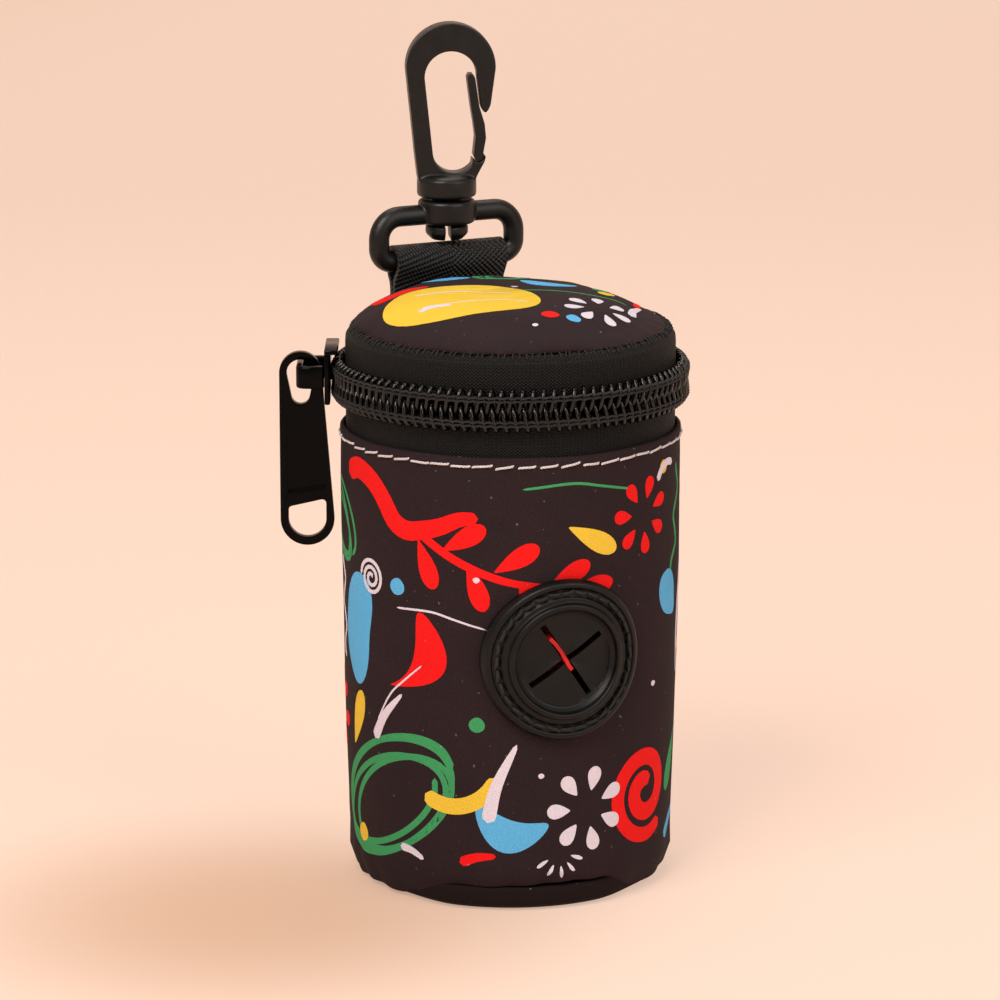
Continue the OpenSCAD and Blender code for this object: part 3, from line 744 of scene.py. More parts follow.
class POUCH_OT_tapes(bpy.types.Operator):
    """The zip's two woven tapes, the upper one turned in over the lid's edge, and the cloth hinge at the back"""

    bl_idname = "pouch.tapes"
    bl_label = "Zip Tapes and Hinge"

    def execute(self, context):
        outer, inner = TAPE_R / MM, TAPE_R / MM - 0.6
        low_z, high_z = low("lower_tape").z / MM, high("lower_tape").z / MM
        tape = lathe("lower_tape_cloth", filleted([
            (inner, low_z, 0), (outer, low_z, 0), (outer, (low_z + high_z) / 2, 0), (outer, high_z, 0.25),
            (inner, high_z, 0.25),
        ]), 160)
        finished(tape, 50, "pouch", "lower_tape", "ribbed_tape")

        low_z, edge_z = low("upper_tape").z / MM, DOME_Z / MM
        tuck = 21.4
        tape = lathe("upper_tape_cloth", filleted([
            (inner, low_z, 0.25), (outer, low_z, 0.25), (outer, low_z + 2.2, 0), (outer + 0.02, edge_z - 1.9, 0),
            (outer - 0.05, edge_z - 0.75, 0.6), (outer - 0.75, edge_z + 0.30, 0.5), (outer - 1.45, edge_z + 0.62, 0.16),
            (outer - 1.40, edge_z + 0.30, 0.1), (outer - 1.2, edge_z - 0.08, 0.2), (tuck, edge_z - 0.12, 0.15),
            (tuck, edge_z - 0.45, 0.15), (inner - 0.5, edge_z - 0.5, 0.3), (inner, edge_z - 1.2, 0.3),
        ], steps=4), 320)

        def frayed(co):
            # the sewn edge waves with each stitch of the seam under it
            radius, angle = polar(co)
            f = min(max((co.z / MM - edge_z + 0.4) / 0.9, 0), 1)
            wave = f * (0.10 * sin(80 * angle + 1.5 * sin(7 * angle)) + 0.12 * sway(angle, 0, 3.0))
            scale = 1 + (0.054 * sway(angle, co.z / MM, 5.0) - 0.5 * wave) * MM / radius
            return Vector((co.x * scale, co.y * scale, co.z + (wave + f * 0.1 * sway(angle, 0, 1.0)) * MM))

        finished(reshape(tape, frayed), 50, "lid", "upper_tape", "ribbed_tape")

        inner, outer = TAPE_R / MM + 0.1, TAPE_R / MM + 1.0
        z0, z1 = low("hinge_tab").z / MM, high("hinge_tab").z / MM
        rows = [z0 + (z1 - z0) * i / 18 for i in range(1, 18)]
        tab = capped(lathe("hinge_cloth", filleted(
            [(inner, z0, 0.3), (outer, z0, 0.3)] + [(outer, z, 0) for z in rows]
            + [(outer, z1, 0.3), (inner, z1, 0.3)] + [(inner, z, 0) for z in rows[::-1]], steps=2
        ), 48, angle=96))
        moved(tab, turned(90 - 48))

        def creased(co):
            scale = 1 + 0.004 * sway(atan2(co.y, co.x), co.z / MM)
            return Vector((co.x * scale, co.y * scale, co.z))

        finished(outward(reshape(tab, creased)), 50, None, "hinge_tab", "ribbed_tape")
        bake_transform(tab)
        return {"FINISHED"}


class POUCH_OT_coils(bpy.types.Operator):
    """The zip's two nylon coils, each one long wire wound in flat loops, with the thread that sews them down"""

    bl_idname = "pouch.coils"
    bl_label = "Zip Coils"

    def execute(self, context):
        sizes = context.scene.pouch_sizes
        first, last, turns, per_turn = 142, 398, sizes.coil_turns, 14
        wire = sizes.coil_wire / 2
        in_r, out_r = TAPE_R + 0.12 * MM + wire, high("lower_coil").x - wire
        for side, body, sign, shifted in (("lower", "pouch", 1, 0.25), ("upper", "lid", -1, 0.75)):
            node = side + "_coil"
            heel = (CHAIN_LOW if sign > 0 else CHAIN_TOP) + sign * wire
            reach = SEAM_Z + sign * 0.46 * MM - heel

            def at(out, degrees_round, share):
                angle = radians(degrees_round)
                return Vector((out * cos(angle), out * sin(angle), heel + reach * share))

            points = []
            for turn in (i / per_turn for i in range(turns * per_turn)):
                t = tau * turn
                # flat loops: the outer leg leans forward, the hidden one runs straight back
                out = (in_r + out_r) / 2 + (out_r - in_r) / 2 * copysign(abs(sin(t)) ** 0.6, sin(t))
                share = 0.5 - 0.5 * cos(t) + 0.05 * sin(2 * t)
                points.append(at(out, last - (turn + shifted - 0.5) * (last - first) / turns, share))
            coil = tube(node + "_wire", points, wire, 1)
            strands = []
            for share in (0.26, 0.42):
                seam = []
                for i in range(turns * 4):
                    t = tau * (i / 4 + share)
                    place = at(
                        out_r + wire + (0.08 * sin(t) - 0.16) * MM, first + (last - first) * i / (turns * 4), share
                    )
                    seam.append(place + Vector((0, 0, sign * 0.08 * MM * cos(t))))
                strands.append(tube("strand", seam, 0.2 * MM, 0))
            finished(coil, 80, body, node, "nylon_coil")
            finished(joined(node + "_thread", strands), 80, body, node, "black_thread")

        for side, body in (("lower", "pouch"), ("upper", "lid")):
            node = side + "_end_stops"
            r, z0, z1 = TAPE_R / MM, low(node).z / MM, high(node).z / MM
            ends = []
            for from_deg in (139.0, 38.6):
                stop = capped(lathe("stop", filleted([
                    (r + 0.05, z0, 0.2), (r + 1.8, z0, 0.5), (r + 1.8, z1, 0.5), (r + 0.05, z1, 0.2),
                ]), 6, angle=2.4))
                ends.append(bevel(moved(outward(stop), turned(from_deg)), 0.15 * MM, 2, 60))
            finished(joined(side + "_stops", ends), 50, body, node, "black_enamel")
        return {"FINISHED"}


class POUCH_OT_outlet(bpy.types.Operator):
    """Moulded rubber outlet with a sewing groove, a bead and a dish cut by a cross slit, and its backing"""

    bl_idname = "pouch.outlet"
    bl_label = "Bag Outlet"

    def execute(self, context):
        sizes = context.scene.pouch_sizes
        edge, low_y = OUTLET_R / MM, 0.06
        # distance from the outlet's middle, height above the cloth
        rubber = lathe("outlet_rubber", filleted([
            (0, 1.02, 0), (1.3, 1.03, 0), (2.6, 1.05, 0), (3.9, 1.08, 0), (5.2, 1.12, 0), (6.4, 1.2, 0),
            (7.3, 1.32, 0.5),
            (7.9, 1.9, 0.3), (8.15, 2.75, 0.3), (8.85, 2.72, 0.34), (9.1, 1.98, 0.25), (9.75, 1.94, 0.3),
            (10.05, 1.62, 0.25), (11.1, 1.62, 0.25), (11.4, 1.98, 0.3), (12.05, 1.9, 0.5), (edge - 0.02, 0.9, 0.5),
            (edge - 0.15, low_y, 0.2),
        ] + [(r, low_y, 0) for r in (10.5, 9.2, 7.9, 6.6, 5.3, 4.0, 2.6, 1.3, 0)], steps=4, closed=False), 120, False)
        tilt = radians(sizes.slit_tilt)
        for turn in (tilt, tilt + pi / 2):
            cut(rubber, cube("slit_cutter", (sizes.slit_length, sizes.slit_width, 8 * MM), turn=turn))
        bevel(rubber, 0.16 * MM, 2, 58)
        # the lathe's Z is outwards, so it turns to minus Y with the slits seen from the front
        moved(rubber, turned(90, "X"))

        def curled(co):
            reach = hypot(co.x, co.z) / MM
            if reach < 7.2 and co.y < -0.5 * MM:
                flap = abs(sin(2 * (atan2(co.z, co.x) - tilt)))
                rise = 0.34 * (1 - flap) * (1 - (reach / 7.2) ** 2) - 0.16 * flap
                co = Vector((co.x, co.y - rise * MM, co.z))
            return on_wall(co)

        finished(reshape(rubber, curled), 42, "pouch", "outlet_grommet", "moulded_rubber")

        ring = lathe("outlet_backing_cloth", filleted([
            (7.2, -2.35, 0.3), (11, -2.35, 0.3), (11, -3.5, 0.4), (7.2, -3.5, 0.4),
        ]), 96)
        reshape(moved(ring, turned(90, "X")), on_wall)
        finished(ring, 50, "pouch", "outlet_backing", "base_cloth")

        film = flat_grid("bag_film_tail", 26, 22)
        width, reach_in, reach_out = 8.2, 16.95, 26.7

        def gathered(co):
            u, v = co.x + 0.5, co.y + 0.5
            across = co.x * width * (1 - 0.25 * v) + 1.2
            fold = 0.12 * sin(u * 6.4 + 0.9) + 0.02 * sin(u * 23 + 5 * v)
            out = reach_in + (reach_out - reach_in) * v + (0.12 * sin(u * 9) - 0.1) * v
            return Vector((across, -out, fold)) * MM

        reshape(film, gathered)
        moved(film, shift(0, 0, OUTLET_Z) @ Matrix.Rotation(-tilt - pi / 2, 4, "Y"))
        outward(modified(film, "SOLIDIFY", thickness=0.58 * MM, offset=0))
        finished(film, 60, "pouch", "bag_tail", "bag_film")
        return {"FINISHED"}


class POUCH_OT_lid(bpy.types.Operator):
    """Lid top, a padded cloth dome that swells from its seam, notched at the back for the webbing"""

    bl_idname = "pouch.lid"
    bl_label = "Padded Lid"

    def execute(self, context):
        sizes = context.scene.pouch_sizes
        rim, rise, thick = DOME_R / MM - 0.15, (DOME_TOP - DOME_Z) / MM - 0.85, sizes.lid_pad / MM
        profile = [
            Vector((reach * cos(a) * MM, 0, DOME_Z + (up * dome_rise(cos(a)) + 0.06) * MM))
            for reach, up, turns in (
                (rim, rise, (pi / 2 * i / 16 for i in range(16, -1, -1))),
                (rim - thick, rise - thick, (pi / 2 * i / 12 for i in range(13))),
            ) for a in turns
        ]
        profile[0].x = profile[-1].x = 0
        dome = lathe("lid_dome", profile, 72, False)
        swell(dome, voxel=1.0 * MM, cap=0.42 * MM, hold_below=DOME_Z + 0.9 * MM)
        notch = cube("webbing_notch", (19.24 * MM, 12 * MM, 20 * MM))
        cut(dome, moved(notch, turned(LOOP_DEG) @ shift(0, LOOP_R + 4.86 * MM, DOME_Z)))

        # swelling draws the edge in, so it is eased out again to its seam
        spread = 0.4

        def puckered(co):
            # the seam gathers the cloth a little all round the edge
            radius, angle = polar(co)
            edge = hump(radius / MM - rim, 2.6)
            dent = edge * (0.07 * sin(40 * angle + 2 * sin(5 * angle)) - 0.05)
            dent += 0.16 * sway(angle, radius / MM, 2.5) * min(1, radius / (8 * MM))
            # the pad stands higher over the slider's side and slopes off on the other
            aside = (co.x * cos(VIEW_TURN) + co.y * sin(VIEW_TURN)) / DOME_R
            high_up = min(1, max(0, 2.2 * (co.z - DOME_Z) / (DOME_TOP - DOME_Z)))
            dent -= 1.3 * (0.6 * aside + 0.5 * aside ** 2) * high_up
            reach = 1 + spread * edge * MM / max(radius, MM)
            up = 1 if co.z > DOME_Z + 1.0 * MM else 0.3
            return Vector((co.x * reach, co.y * reach, min(co.z + dent * up * MM, DOME_TOP + 0.2 * MM)))

        finished(reshape(dome, puckered), 55, "lid", "lid_panel", "print_cloth")

        # the tape's edge is overcast to the pad with short loops of thread
        rng = random.Random(5)
        stitches = []
        for i in range(sizes.seam_loops):
            angle = tau * (i + rng.uniform(-0.3, 0.3)) / sizes.seam_loops
            lean, out = rng.uniform(-0.5, 0.5) + 0.3, TAPE_R / MM + rng.uniform(-0.12, 0.12)
            if abs((degrees(angle) - 90 - LOOP_DEG + 180) % 360 - 180) < 27:
                continue
            stitch = tube("overcast", [
                Vector(((out - inwards) * MM, along * lean * MM, DOME_Z + up * MM))
                for inwards, along, up in ((0.5, -0.5, 0.1), (0.95, -0.2, 0.66), (1.5, 0.2, 0.86), (2.0, 0.5, 0.62))
            ], 0.11 * MM, 0)
            stitches.append(moved(stitch, Matrix.Rotation(angle, 4, "Z")))
        finished(joined("overcast_thread", stitches), 60, "lid", "lid_panel", "black_thread")
        return {"FINISHED"}


def dome_rise(f):
    """Height of the lid's curve for a distance from its middle, both from 0 to 1."""
    return max(0.0, 1 - f ** 2.4) ** (1 / 2.4)


def swell(piece, voxel, cap, hold_below):
    """Puffs a padded shell with cloth physics. It runs 20 times life size, where the solver is at home."""
    grow, frames = 20, 20
    modified(piece, "REMESH", mode="VOXEL", voxel_size=voxel, adaptivity=0)
    start = [v.co.copy() for v in piece.data.vertices]
    moved(piece, Matrix.Scale(grow, 4))
    held = piece.vertex_groups.new(name="sewn")
    held.add([i for i, co in enumerate(start) if co.z < hold_below], 1.0, "REPLACE")
    made = piece.modifiers.new("Cloth", "CLOTH")
    made.settings.quality = 5
    made.settings.use_pressure = True
    made.settings.uniform_pressure_force = 4
    made.settings.effector_weights.gravity = 0
    made.settings.vertex_group_mass = "sewn"
    made.point_cache.frame_start, made.point_cache.frame_end = 1, frames
    for number in range(1, frames + 1):
        bpy.context.scene.frame_set(number)
    bpy.ops.object.modifier_apply(modifier="Cloth")
    bpy.context.scene.frame_set(1)
    moved(piece, Matrix.Scale(1 / grow, 4))
    piece.vertex_groups.clear()
    for vertex, before in zip(piece.data.vertices, start):
        step = vertex.co - before
        if step.length > cap:
            vertex.co = before + step * (cap / step.length)
    modified(piece, "SMOOTH", factor=0.5, iterations=4)
    modified(piece, "SUBSURF", levels=1, render_levels=1)


class POUCH_OT_webbing(bpy.types.Operator):
    """Ribbed webbing folded round the ring's bar, both layers sewn in at the back of the lid"""

    bl_idname = "pouch.webbing"
    bl_label = "Webbing Loop"

    def execute(self, context):
        width, thick = context.scene.pouch_sizes.webbing_width, 0.98 * MM
        foot, root, bar = DOME_Z + 0.12 * MM, DOME_Z + 4.15 * MM, BAR.z
        bend, half = 1.75 * MM + thick / 2, thick / 2 + 0.01 * MM
        rows = [foot, foot + 1 * MM, foot + 2 * MM, foot + 3 * MM, root]
        lean = asin(min(1, (bend - half) / (bar - root)))
        turns = [pi + lean * 0.9 - (pi + 1.8 * lean) * i / 16 for i in range(17)]
        strap = line(
            "webbing_strap", [Vector((0, -half, z)) for z in rows]
            + [Vector((0, bend * cos(a), bar + bend * sin(a))) for a in turns]
            + [Vector((0, half, z)) for z in rows[::-1]]
        )
        columns = 38
        with editing(strap):
            bpy.ops.transform.translate(value=(-width / 2, 0, 0))
            for _ in range(columns):
                bpy.ops.mesh.extrude_region_move(TRANSFORM_OT_translate={"value": (width / columns, 0, 0)})
        modified(strap, "SUBSURF", levels=1, render_levels=1)
        outward(modified(strap, "SOLIDIFY", thickness=thick - 0.16 * MM, offset=0, use_even_offset=True))

        def ribbed(co):
            # thick weft ribs at the selvedges
            along = co.z if abs(co.z - bar) > bend else co.z * 1.2
            rib = 0.06 * MM * sin(along / MM * tau / 1.1) if abs(abs(co.x) - width / 2) < 0.7 * MM else 0
            return Vector((co.x + copysign(rib, co.x), co.y, co.z))

        bevel(reshape(strap, ribbed), 0.14 * MM, 2, 60)
        # the weave's map, in metres, follows the strap; the back layer starts in another row
        layer = strap.data.uv_layers.get("UVMap") or strap.data.uv_layers.new(name="UVMap")
        for loop in strap.data.loops:
            co = strap.data.vertices[loop.vertex_index].co
            layer.data[loop.index].uv = (co.x, co.z + (3 * MM if co.y > 0 else 0))
        moved(strap, turned(LOOP_DEG) @ shift(0, LOOP_R, 0))
        finished(strap, 50, "lid", "webbing_loop", "webbing")
        return {"FINISHED"}


class POUCH_OT_slider(bpy.types.Operator):
    """Enamelled zip slider with rounded plates, a wedge and a bridge, and the pull that hangs on it"""

    bl_idname = "pouch.slider"
    bl_label = "Slider and Pull"

    def execute(self, context):
        place = turned(SLIDER_DEG)
        length, seam_z = 10.8, SEAM_Z / MM
        z_mid = seam_z + 0.75
        # name, size, distance from the axis, place along the zip, height, rounding
        body = joined("slider_plates", [
            bevel(cube("slider_" + name, Vector(size) * MM, Vector((r, y, z)) * MM), rounding * MM)
            for name, size, r, y, z, rounding in (
                ("front", (0.85, length, 9.3), 27.93, 0, z_mid, 0.28),
                ("flange", (2.05, length, 0.9), 27.33, 0, z_mid + 4.2, 0.25),
                ("inner", (0.85, length * 0.98, 7.1), 23.43, 0, seam_z, 0.3),
                ("wedge", (4.5, 2.38, 2.4), 25.7, 1.19 - length / 2, seam_z, 0.2),
            )
        ])

        def rounded_off(co):
            # corners of the front plate are rounded off, as die-cast sliders are
            top = (co.z / MM - z_mid) / 4.65
            pull_in = max(0, abs(co.y) / MM / (length / 2) - 0.55) * max(0, abs(top) - 0.5)
            return Vector((co.x, co.y * (1 - 0.35 * pull_in), co.z - copysign(1.9 * MM * pull_in, top)))

        moved(reshape(body, rounded_off), place)
        finished(body, 40, "slider", "slider_body", "black_enamel")

        high_x, high_z = hypot(PULL.x, PULL.y) / MM, PULL.z / MM
        half, strip, start, end = length / 2 - 0.7, 1.1, 28.40, high_x + 0.55
        bridge = plate("slider_arch", [filleted([
            (start, -half, 0), (end, -half, 1.5), (end, half, 1.5), (start, half, 0), (start, half - strip, 0),
            (end - strip, half - strip, 0.7), (end - strip, strip - half, 0.7), (start, strip - half, 0),
        ], steps=6)], 3.5 * MM)
        bevel(moved(bridge, shift(0, 0, PULL.z) @ turned(90, "X")), 0.36 * MM, 3, 45)
        finished(moved(bridge, place), 40, "slider", "slider_bridge", "black_enamel")

        eye_half, low_half = 3.25, 4.15
        low_x, low_z = high_x + eye_half - low_half, high_z - context.scene.pouch_sizes.pull_length / MM + 3.9
        slot_r = low_half - 1.25
        tab = plate("pull_plate", [
            hull_of_circles((high_x, high_z, eye_half), (low_x, low_z, low_half), 28),
            hull_of_circles((high_x, high_z, 2.1), (high_x, high_z - 3.5, 1.4), 16),
            filleted([
                (low_x - slot_r, low_z + 3.2, 0.6), (low_x + slot_r, low_z + 1.9, 0.6),
            ] + [(x, z, 0) for x, z in arc_points(low_x, low_z, slot_r, 0, -180, 16)], steps=4),
        ], 1.4 * MM)
        panel = plate("pull_panel", [filleted([
            (high_x - 2.05, high_z - 6.2, 0.6), (high_x + 2.25, high_z - 6.2, 0.6),
            (low_x + 3.1, low_z + 4.2, 0.6), (low_x - 3.0, low_z + 5.2, 0.6),
        ], steps=4)], 0.7 * MM)
        for side in (-1, 1):
            cut(tab, moved(copy_of(panel), shift(0, side * 0.7 * MM, 0)))
        bpy.data.objects.remove(panel)
        moved(bevel(tab, 0.26 * MM, 3, 50), place)
        finished(tab, 35, "pull", "pull_tab", "black_enamel")
        return {"FINISHED"}


class POUCH_OT_ring(bpy.types.Operator):
    """Moulded D-shaped ring with rounded limbs and the hub that the hook swivels in"""

    bl_idname = "pouch.ring"
    bl_label = "Swivel Ring"

    def execute(self, context):
        bar = BAR.z / MM
        half, top = 11.65, bar + 7.1
        path = filleted([
            (2.9, top, 0), (half, top, 4.6), (half, bar, 2.2), (-half, bar, 2.2), (-half, top, 4.6), (-2.9, top, 0),
        ], steps=9, closed=False)
        spread = []
        for start, end in zip(path, path[1:]):
            pieces = max(1, round((end - start).length / (1.5 * MM)))
            spread += [start.lerp(end, i / pieces) for i in range(pieces)]
        # the limbs are oval, a little wider than they are deep
        rod = reshape(tube("ring_rod", spread + path[-1:], 1.63 * MM, 6), lambda co: Vector((co.x, co.y * 0.97, co.z)))
        hub = lathe("ring_hub", filleted([
            (2.28, HUB_LOW, 0.3), (4.5, HUB_LOW, 0.7), (4.5, HUB_HIGH, 0.7), (2.28, HUB_HIGH, 0.3),
        ]), 64)
        ring = moulded_in_one("swivel_ring_moulded", (rod, hub), 0.17, 0.5, 5, 0.35)
        moved(ring, turned(LOOP_DEG) @ shift(0, LOOP_R, 0))
        finished(ring, 60, "ring", "swivel_ring", "acetal")
        return {"FINISHED"}


def moulded_in_one(name, pieces, voxel, factor, rounds, ratio):
    """Melts pieces into one skin with soft edges, then thins its faces out."""
    piece = joined(name, pieces)
    modified(piece, "REMESH", mode="VOXEL", voxel_size=voxel * MM, adaptivity=0)
    modified(piece, "SMOOTH", factor=factor, iterations=rounds)
    return modified(piece, "DECIMATE", ratio=ratio)


class POUCH_OT_hook(bpy.types.Operator):
    """Moulded snap hook with a round crook, a collar, a swivel post and a split barb"""

    bl_idname = "pouch.hook"
    bl_label = "Snap Hook"

    def execute(self, context):
        crook_r, eye_r, eye_x = 7.0, 4.1, 0.6
        top = HOOK_TOP / MM
        frame_part = plate("hook_frame", [to_metres(
            [(-4.45, HOOK_Z - 0.6), (4.3, HOOK_Z - 0.6), (4.75, HOOK_Z + 0.5), (GATE_X + 0.95, GATE_Z - 0.9)]
            + [(GATE_X + 1.15, GATE_Z - 0.1), (GATE_X + 0.8, GATE_Z + 0.35)]
            + arc_points(GATE_X, GATE_Z, 0.93, 20, -180, 10)
            + [(3.9, GATE_Z - 0.35)]
            + arc_points(1.15, HOOK_Z + 4.25, 3.45, 322, 180, 14)
            + arc_points(eye_x, top - 4.4 - eye_r, eye_r, 180, 0, 22)
            + [(5.28, NOSE_Z + 0.9), (5.6, NOSE_Z + 0.15), (6.0, NOSE_Z - 0.05)]
            + [(6.4, NOSE_Z + 0.3), (6.8, NOSE_Z + 1.2)]
            + arc_points(eye_x, top - crook_r, crook_r, 0, 180, 30)
            + [(-5.55, HOOK_Z + 8.8), (-5.1, HOOK_Z + 4.3), (-4.65, HOOK_Z + 0.3)]
        )], 3.6 * MM)
        bevel(frame_part, 0.8 * MM, 3, 60)
        barb_z = HUB_LOW - 2.6
        swivel = lathe("hook_swivel", filleted([
            (0, barb_z, 0), (2.35, barb_z, 0.3), (3.35, barb_z + 1, 0.3), (3.35, barb_z + 2.35, 0.35),
            (2.2, barb_z + 2.38, 0), (2.2, HUB_HIGH + 0.4, 0), (4.65, HUB_HIGH + 0.4, 0.5), (4.65, HUB_HIGH + 3.4, 0.6),
            (3.6, HUB_HIGH + 3.75, 0.4), (0, HUB_HIGH + 3.8, 0),
        ], closed=False), 64, False)
        cut(swivel, cube("barb_gap", (0.85 * MM, 12 * MM, 7.4 * MM), (0, 0, barb_z * MM)))
        hook = moulded_in_one("snap_hook_moulded", (frame_part, swivel), 0.15, 0.55, 16, 0.3)
        finished(moved(hook, at_hook()), 60, "hook", "snap_hook", "acetal")
        return {"FINISHED"}


def at_hook():
    return shift(BAR.x, BAR.y, 0) @ turned(HOOK_DEG)


class POUCH_OT_gate(bpy.types.Operator):
    """The hook's springy tongue, rolled at its root"""

    bl_idname = "pouch.gate"
    bl_label = "Hook Gate"

    def execute(self, context):
        tip_x, tip_z = 3.75, HOOK_TOP / MM - 8.6
        gate = plate("hook_gate_moulded", [filleted([
            (GATE_X + 0.72, GATE_Z + 0.45, 0.2), (GATE_X + 1.15, GATE_Z + 2.8, 2.0), (GATE_X + 0.95, GATE_Z + 5, 2.0),
            (GATE_X + 0.1, NOSE_Z + 1, 1.5), (tip_x + 0.62, tip_z, 0.6), (tip_x + 0.3, tip_z + 0.6, 0.3),
            (tip_x - 0.35, tip_z + 0.55, 0.3), (tip_x - 0.62, tip_z, 0.5),
            (GATE_X - 1.2, NOSE_Z + 1, 1.5), (GATE_X - 0.75, GATE_Z + 5, 1.5), (GATE_X - 0.5, GATE_Z + 3, 1.0),
            (GATE_X - 0.75, GATE_Z + 0.4, 0.2), (GATE_X - 0.8, GATE_Z, 0.3), (GATE_X - 0.45, GATE_Z - 0.68, 0.3),
            (GATE_X + 0.45, GATE_Z - 0.68, 0.3), (GATE_X + 0.8, GATE_Z, 0.3),
        ], steps=4)], 3.0 * MM)
        moved(bevel(gate, 0.3 * MM, 3, 55), at_hook())
        finished(gate, 45, "gate", "hook_gate", "acetal")
        return {"FINISHED"}


class POUCH_OT_bags(bpy.types.Operator):
    """Roll of bags, one film wound in a spiral on a card core"""

    bl_idname = "pouch.bags"
    bl_label = "Bag Roll"

    def execute(self, context):
        low_z, high_z = low("bag_roll").z, high("bag_roll").z
        core_r, roll_r = high("roll_core").x, high("bag_roll").x
        turns, per_turn = 12, 40
        layer = (roll_r - core_r) / (turns + 1)
        points = []
        for i in range(turns * per_turn + 1):
            a, r = tau * i / per_turn, core_r + layer * (0.55 + i / per_turn)
            loose = 1 + 0.004 * sin(3 * a) * (r / roll_r)
            points.append((r * loose * cos(a), r * loose * sin(a), 0))
        film = swept("bag_film_roll", points, extrude=(high_z - low_z) / 2)
        moved(film, shift(0, 0, (low_z + high_z) / 2))
        outward(modified(film, "SOLIDIFY", thickness=layer * 0.82, offset=0))
        finished(film, 40, "roll", "bag_roll", "bag_film")
        r, z0, z1 = core_r / MM, low_z / MM, high_z / MM
        core = lathe("card_core", filleted([(r - 1, z0, 0.15), (r, z0, 0.15), (r, z1, 0.15), (r - 1, z1, 0.15)], 2), 64)
        finished(core, 50, "roll", "roll_core", "core_card")
        return {"FINISHED"}


# ---- the cloth's print: small motifs, each a thin patch of dye laid on the cloth ----

def flat_grid(name, columns, rows):
    """A flat grid, 1 by 1 and centred, to be shaped into one motif."""
    bpy.ops.object.select_all(action="DESELECT")
    bpy.ops.mesh.primitive_grid_add(x_subdivisions=columns, y_subdivisions=rows, size=1)
    return added(name)


def patch(rx, ry, wobble=0.0, seed=0, bend=0.0, point=0.0):
    """A rounded patch in millimetres: uneven, bent like a bean or drawn to a point at one end."""
    rng = random.Random(seed)
    phases = [rng.uniform(0, tau) for _ in range(3)]

    def shaped(co):
        x, y = 2 * co.x, 2 * co.y
        px, py = x * sqrt(1 - y * y / 2), y * sqrt(1 - x * x / 2)
        t = atan2(py, px)
        grow = 1 + wobble * sum(sin((k + 2) * t + phases[k]) / (k + 1.5) for k in range(3))
        px, py = px * grow, py * grow
        px *= 1 - point * max(0.0, 0.5 + 0.5 * py) ** 1.5
        return Vector((rx * px + bend * (py * py - 0.5), ry * py, 0)) * MM

    return reshape(flat_grid("patch", 12, 12), shaped)


def stroke(points, width, thin_start=0.0, thin_end=0.0):
    """A brush stroke in millimetres along a smooth line, round at its ends and thinning where asked."""
    path = smooth_line(points)
    lengths = [0.0]
    for start, end in zip(path, path[1:]):
        lengths.append(lengths[-1] + (end - start).length)
    total = lengths[-1]

    def shaped(co):
        f = co.x + 0.5
        s = total * (0.35 * (0.5 - 0.5 * cos(pi * f)) + 0.65 * f)
        k = max(i for i, at in enumerate(lengths[:-1]) if at <= s + 1e-9)
        along = path[k + 1] - path[k]
        here = path[k] + along * ((s - lengths[k]) / max(along.length, 1e-6))
        run = (path[min(k + 2, len(path) - 1)] - path[max(k - 1, 0)]).normalized()
        half = width / 2 * (1 - thin_start * (1 - f) ** 1.5) * (1 - thin_end * f ** 1.5)
        near = min(s, total - s)
        if near < half:
            half *= sqrt(max(0.0, 1 - ((half - near) / half) ** 2))
        side = 2 * co.y * max(half, 0.02)
        return Vector((here.x - run.y * side, here.y + run.x * side, 0)) * MM

    return reshape(flat_grid("stroke", max(10, round(total / 0.9)), 2), shaped)


def smooth_line(points, steps=8):
    """A smooth line through points (Catmull-Rom)."""
    points = [Vector(point) for point in points]
    ends = [2 * points[0] - points[1]] + points + [2 * points[-1] - points[-2]]
    out = []
    for p0, p1, p2, p3 in zip(ends, ends[1:], ends[2:], ends[3:]):
        for t in (s / steps for s in range(steps)):
            out.append(0.5 * (
                2 * p1 + (p2 - p0) * t + (2 * p0 - 5 * p1 + 4 * p2 - p3) * t * t + (3 * p1 - p0 - 3 * p2 + p3) * t ** 3
            ))
    return out + [points[-1]]


def wave_line(length, rise, humps):
    count = round(humps * 8)
    return [
        (length * (i / count - 0.5), rise * sin(pi * i / 4) * (0.85 + 0.15 * cos(1.3 * i))) for i in range(count + 1)
    ]


def spiral_line(r_in, r_out, turns):
    count = round(turns * 12)
    reaches = [r_in + (r_out - r_in) * i / count for i in range(count + 1)]
    return [(r * cos(tau * i / 12), r * sin(tau * i / 12)) for i, r in enumerate(reaches)]


def loops_line(rx, ry, turns):
    out = []
    for t in (tau * i / 14 for i in range(turns * 14 + 1)):
        grow = 1 + 0.13 * sin(t * 0.37 + 1)
        out.append((rx * grow * cos(t) + 0.9 * sin(t * 0.21), ry * grow * sin(t + 0.3) + 1.1 * cos(t * 0.29)))
    return out


def fan(count, reach, length, width, point, spread):
    """Petals or rays side by side round a middle."""
    parts = []
    for i in range(count):
        turn = spread * (i / count if spread == 360 else i / (count - 1) - 0.5)
        part = patch(width, length / 2, point=point)
        parts.append(moved(part, turned(turn) @ shift(0, -(reach - length / 2) * MM, 0)))
    return joined("fan", parts)


def sprig(half, stem):
    """A leafy twig: a bowed stem with leaves on both sides and one at its end."""
    parts = [stroke([(-half, 1.6), (-half / 3, -0.5), (half / 3, -0.5), (half, 1.8)], stem, 0.2, 0.5)]
    # a leaf's pointed end is up, so it is turned to grow out of the stem
    places = [
        shift(half * (0.3 * i - 0.82) * MM, 0, 0) @ turned(140 if i % 2 else 40) @ shift(0, -4.3 * MM, 0)
        for i in range(6)
    ] + [shift((half + 2.4) * MM, 2.6 * MM, 0) @ turned(118)]
    return joined("sprig", parts + [moved(patch(2.0, 4.1, point=0.75), place) for place in places])


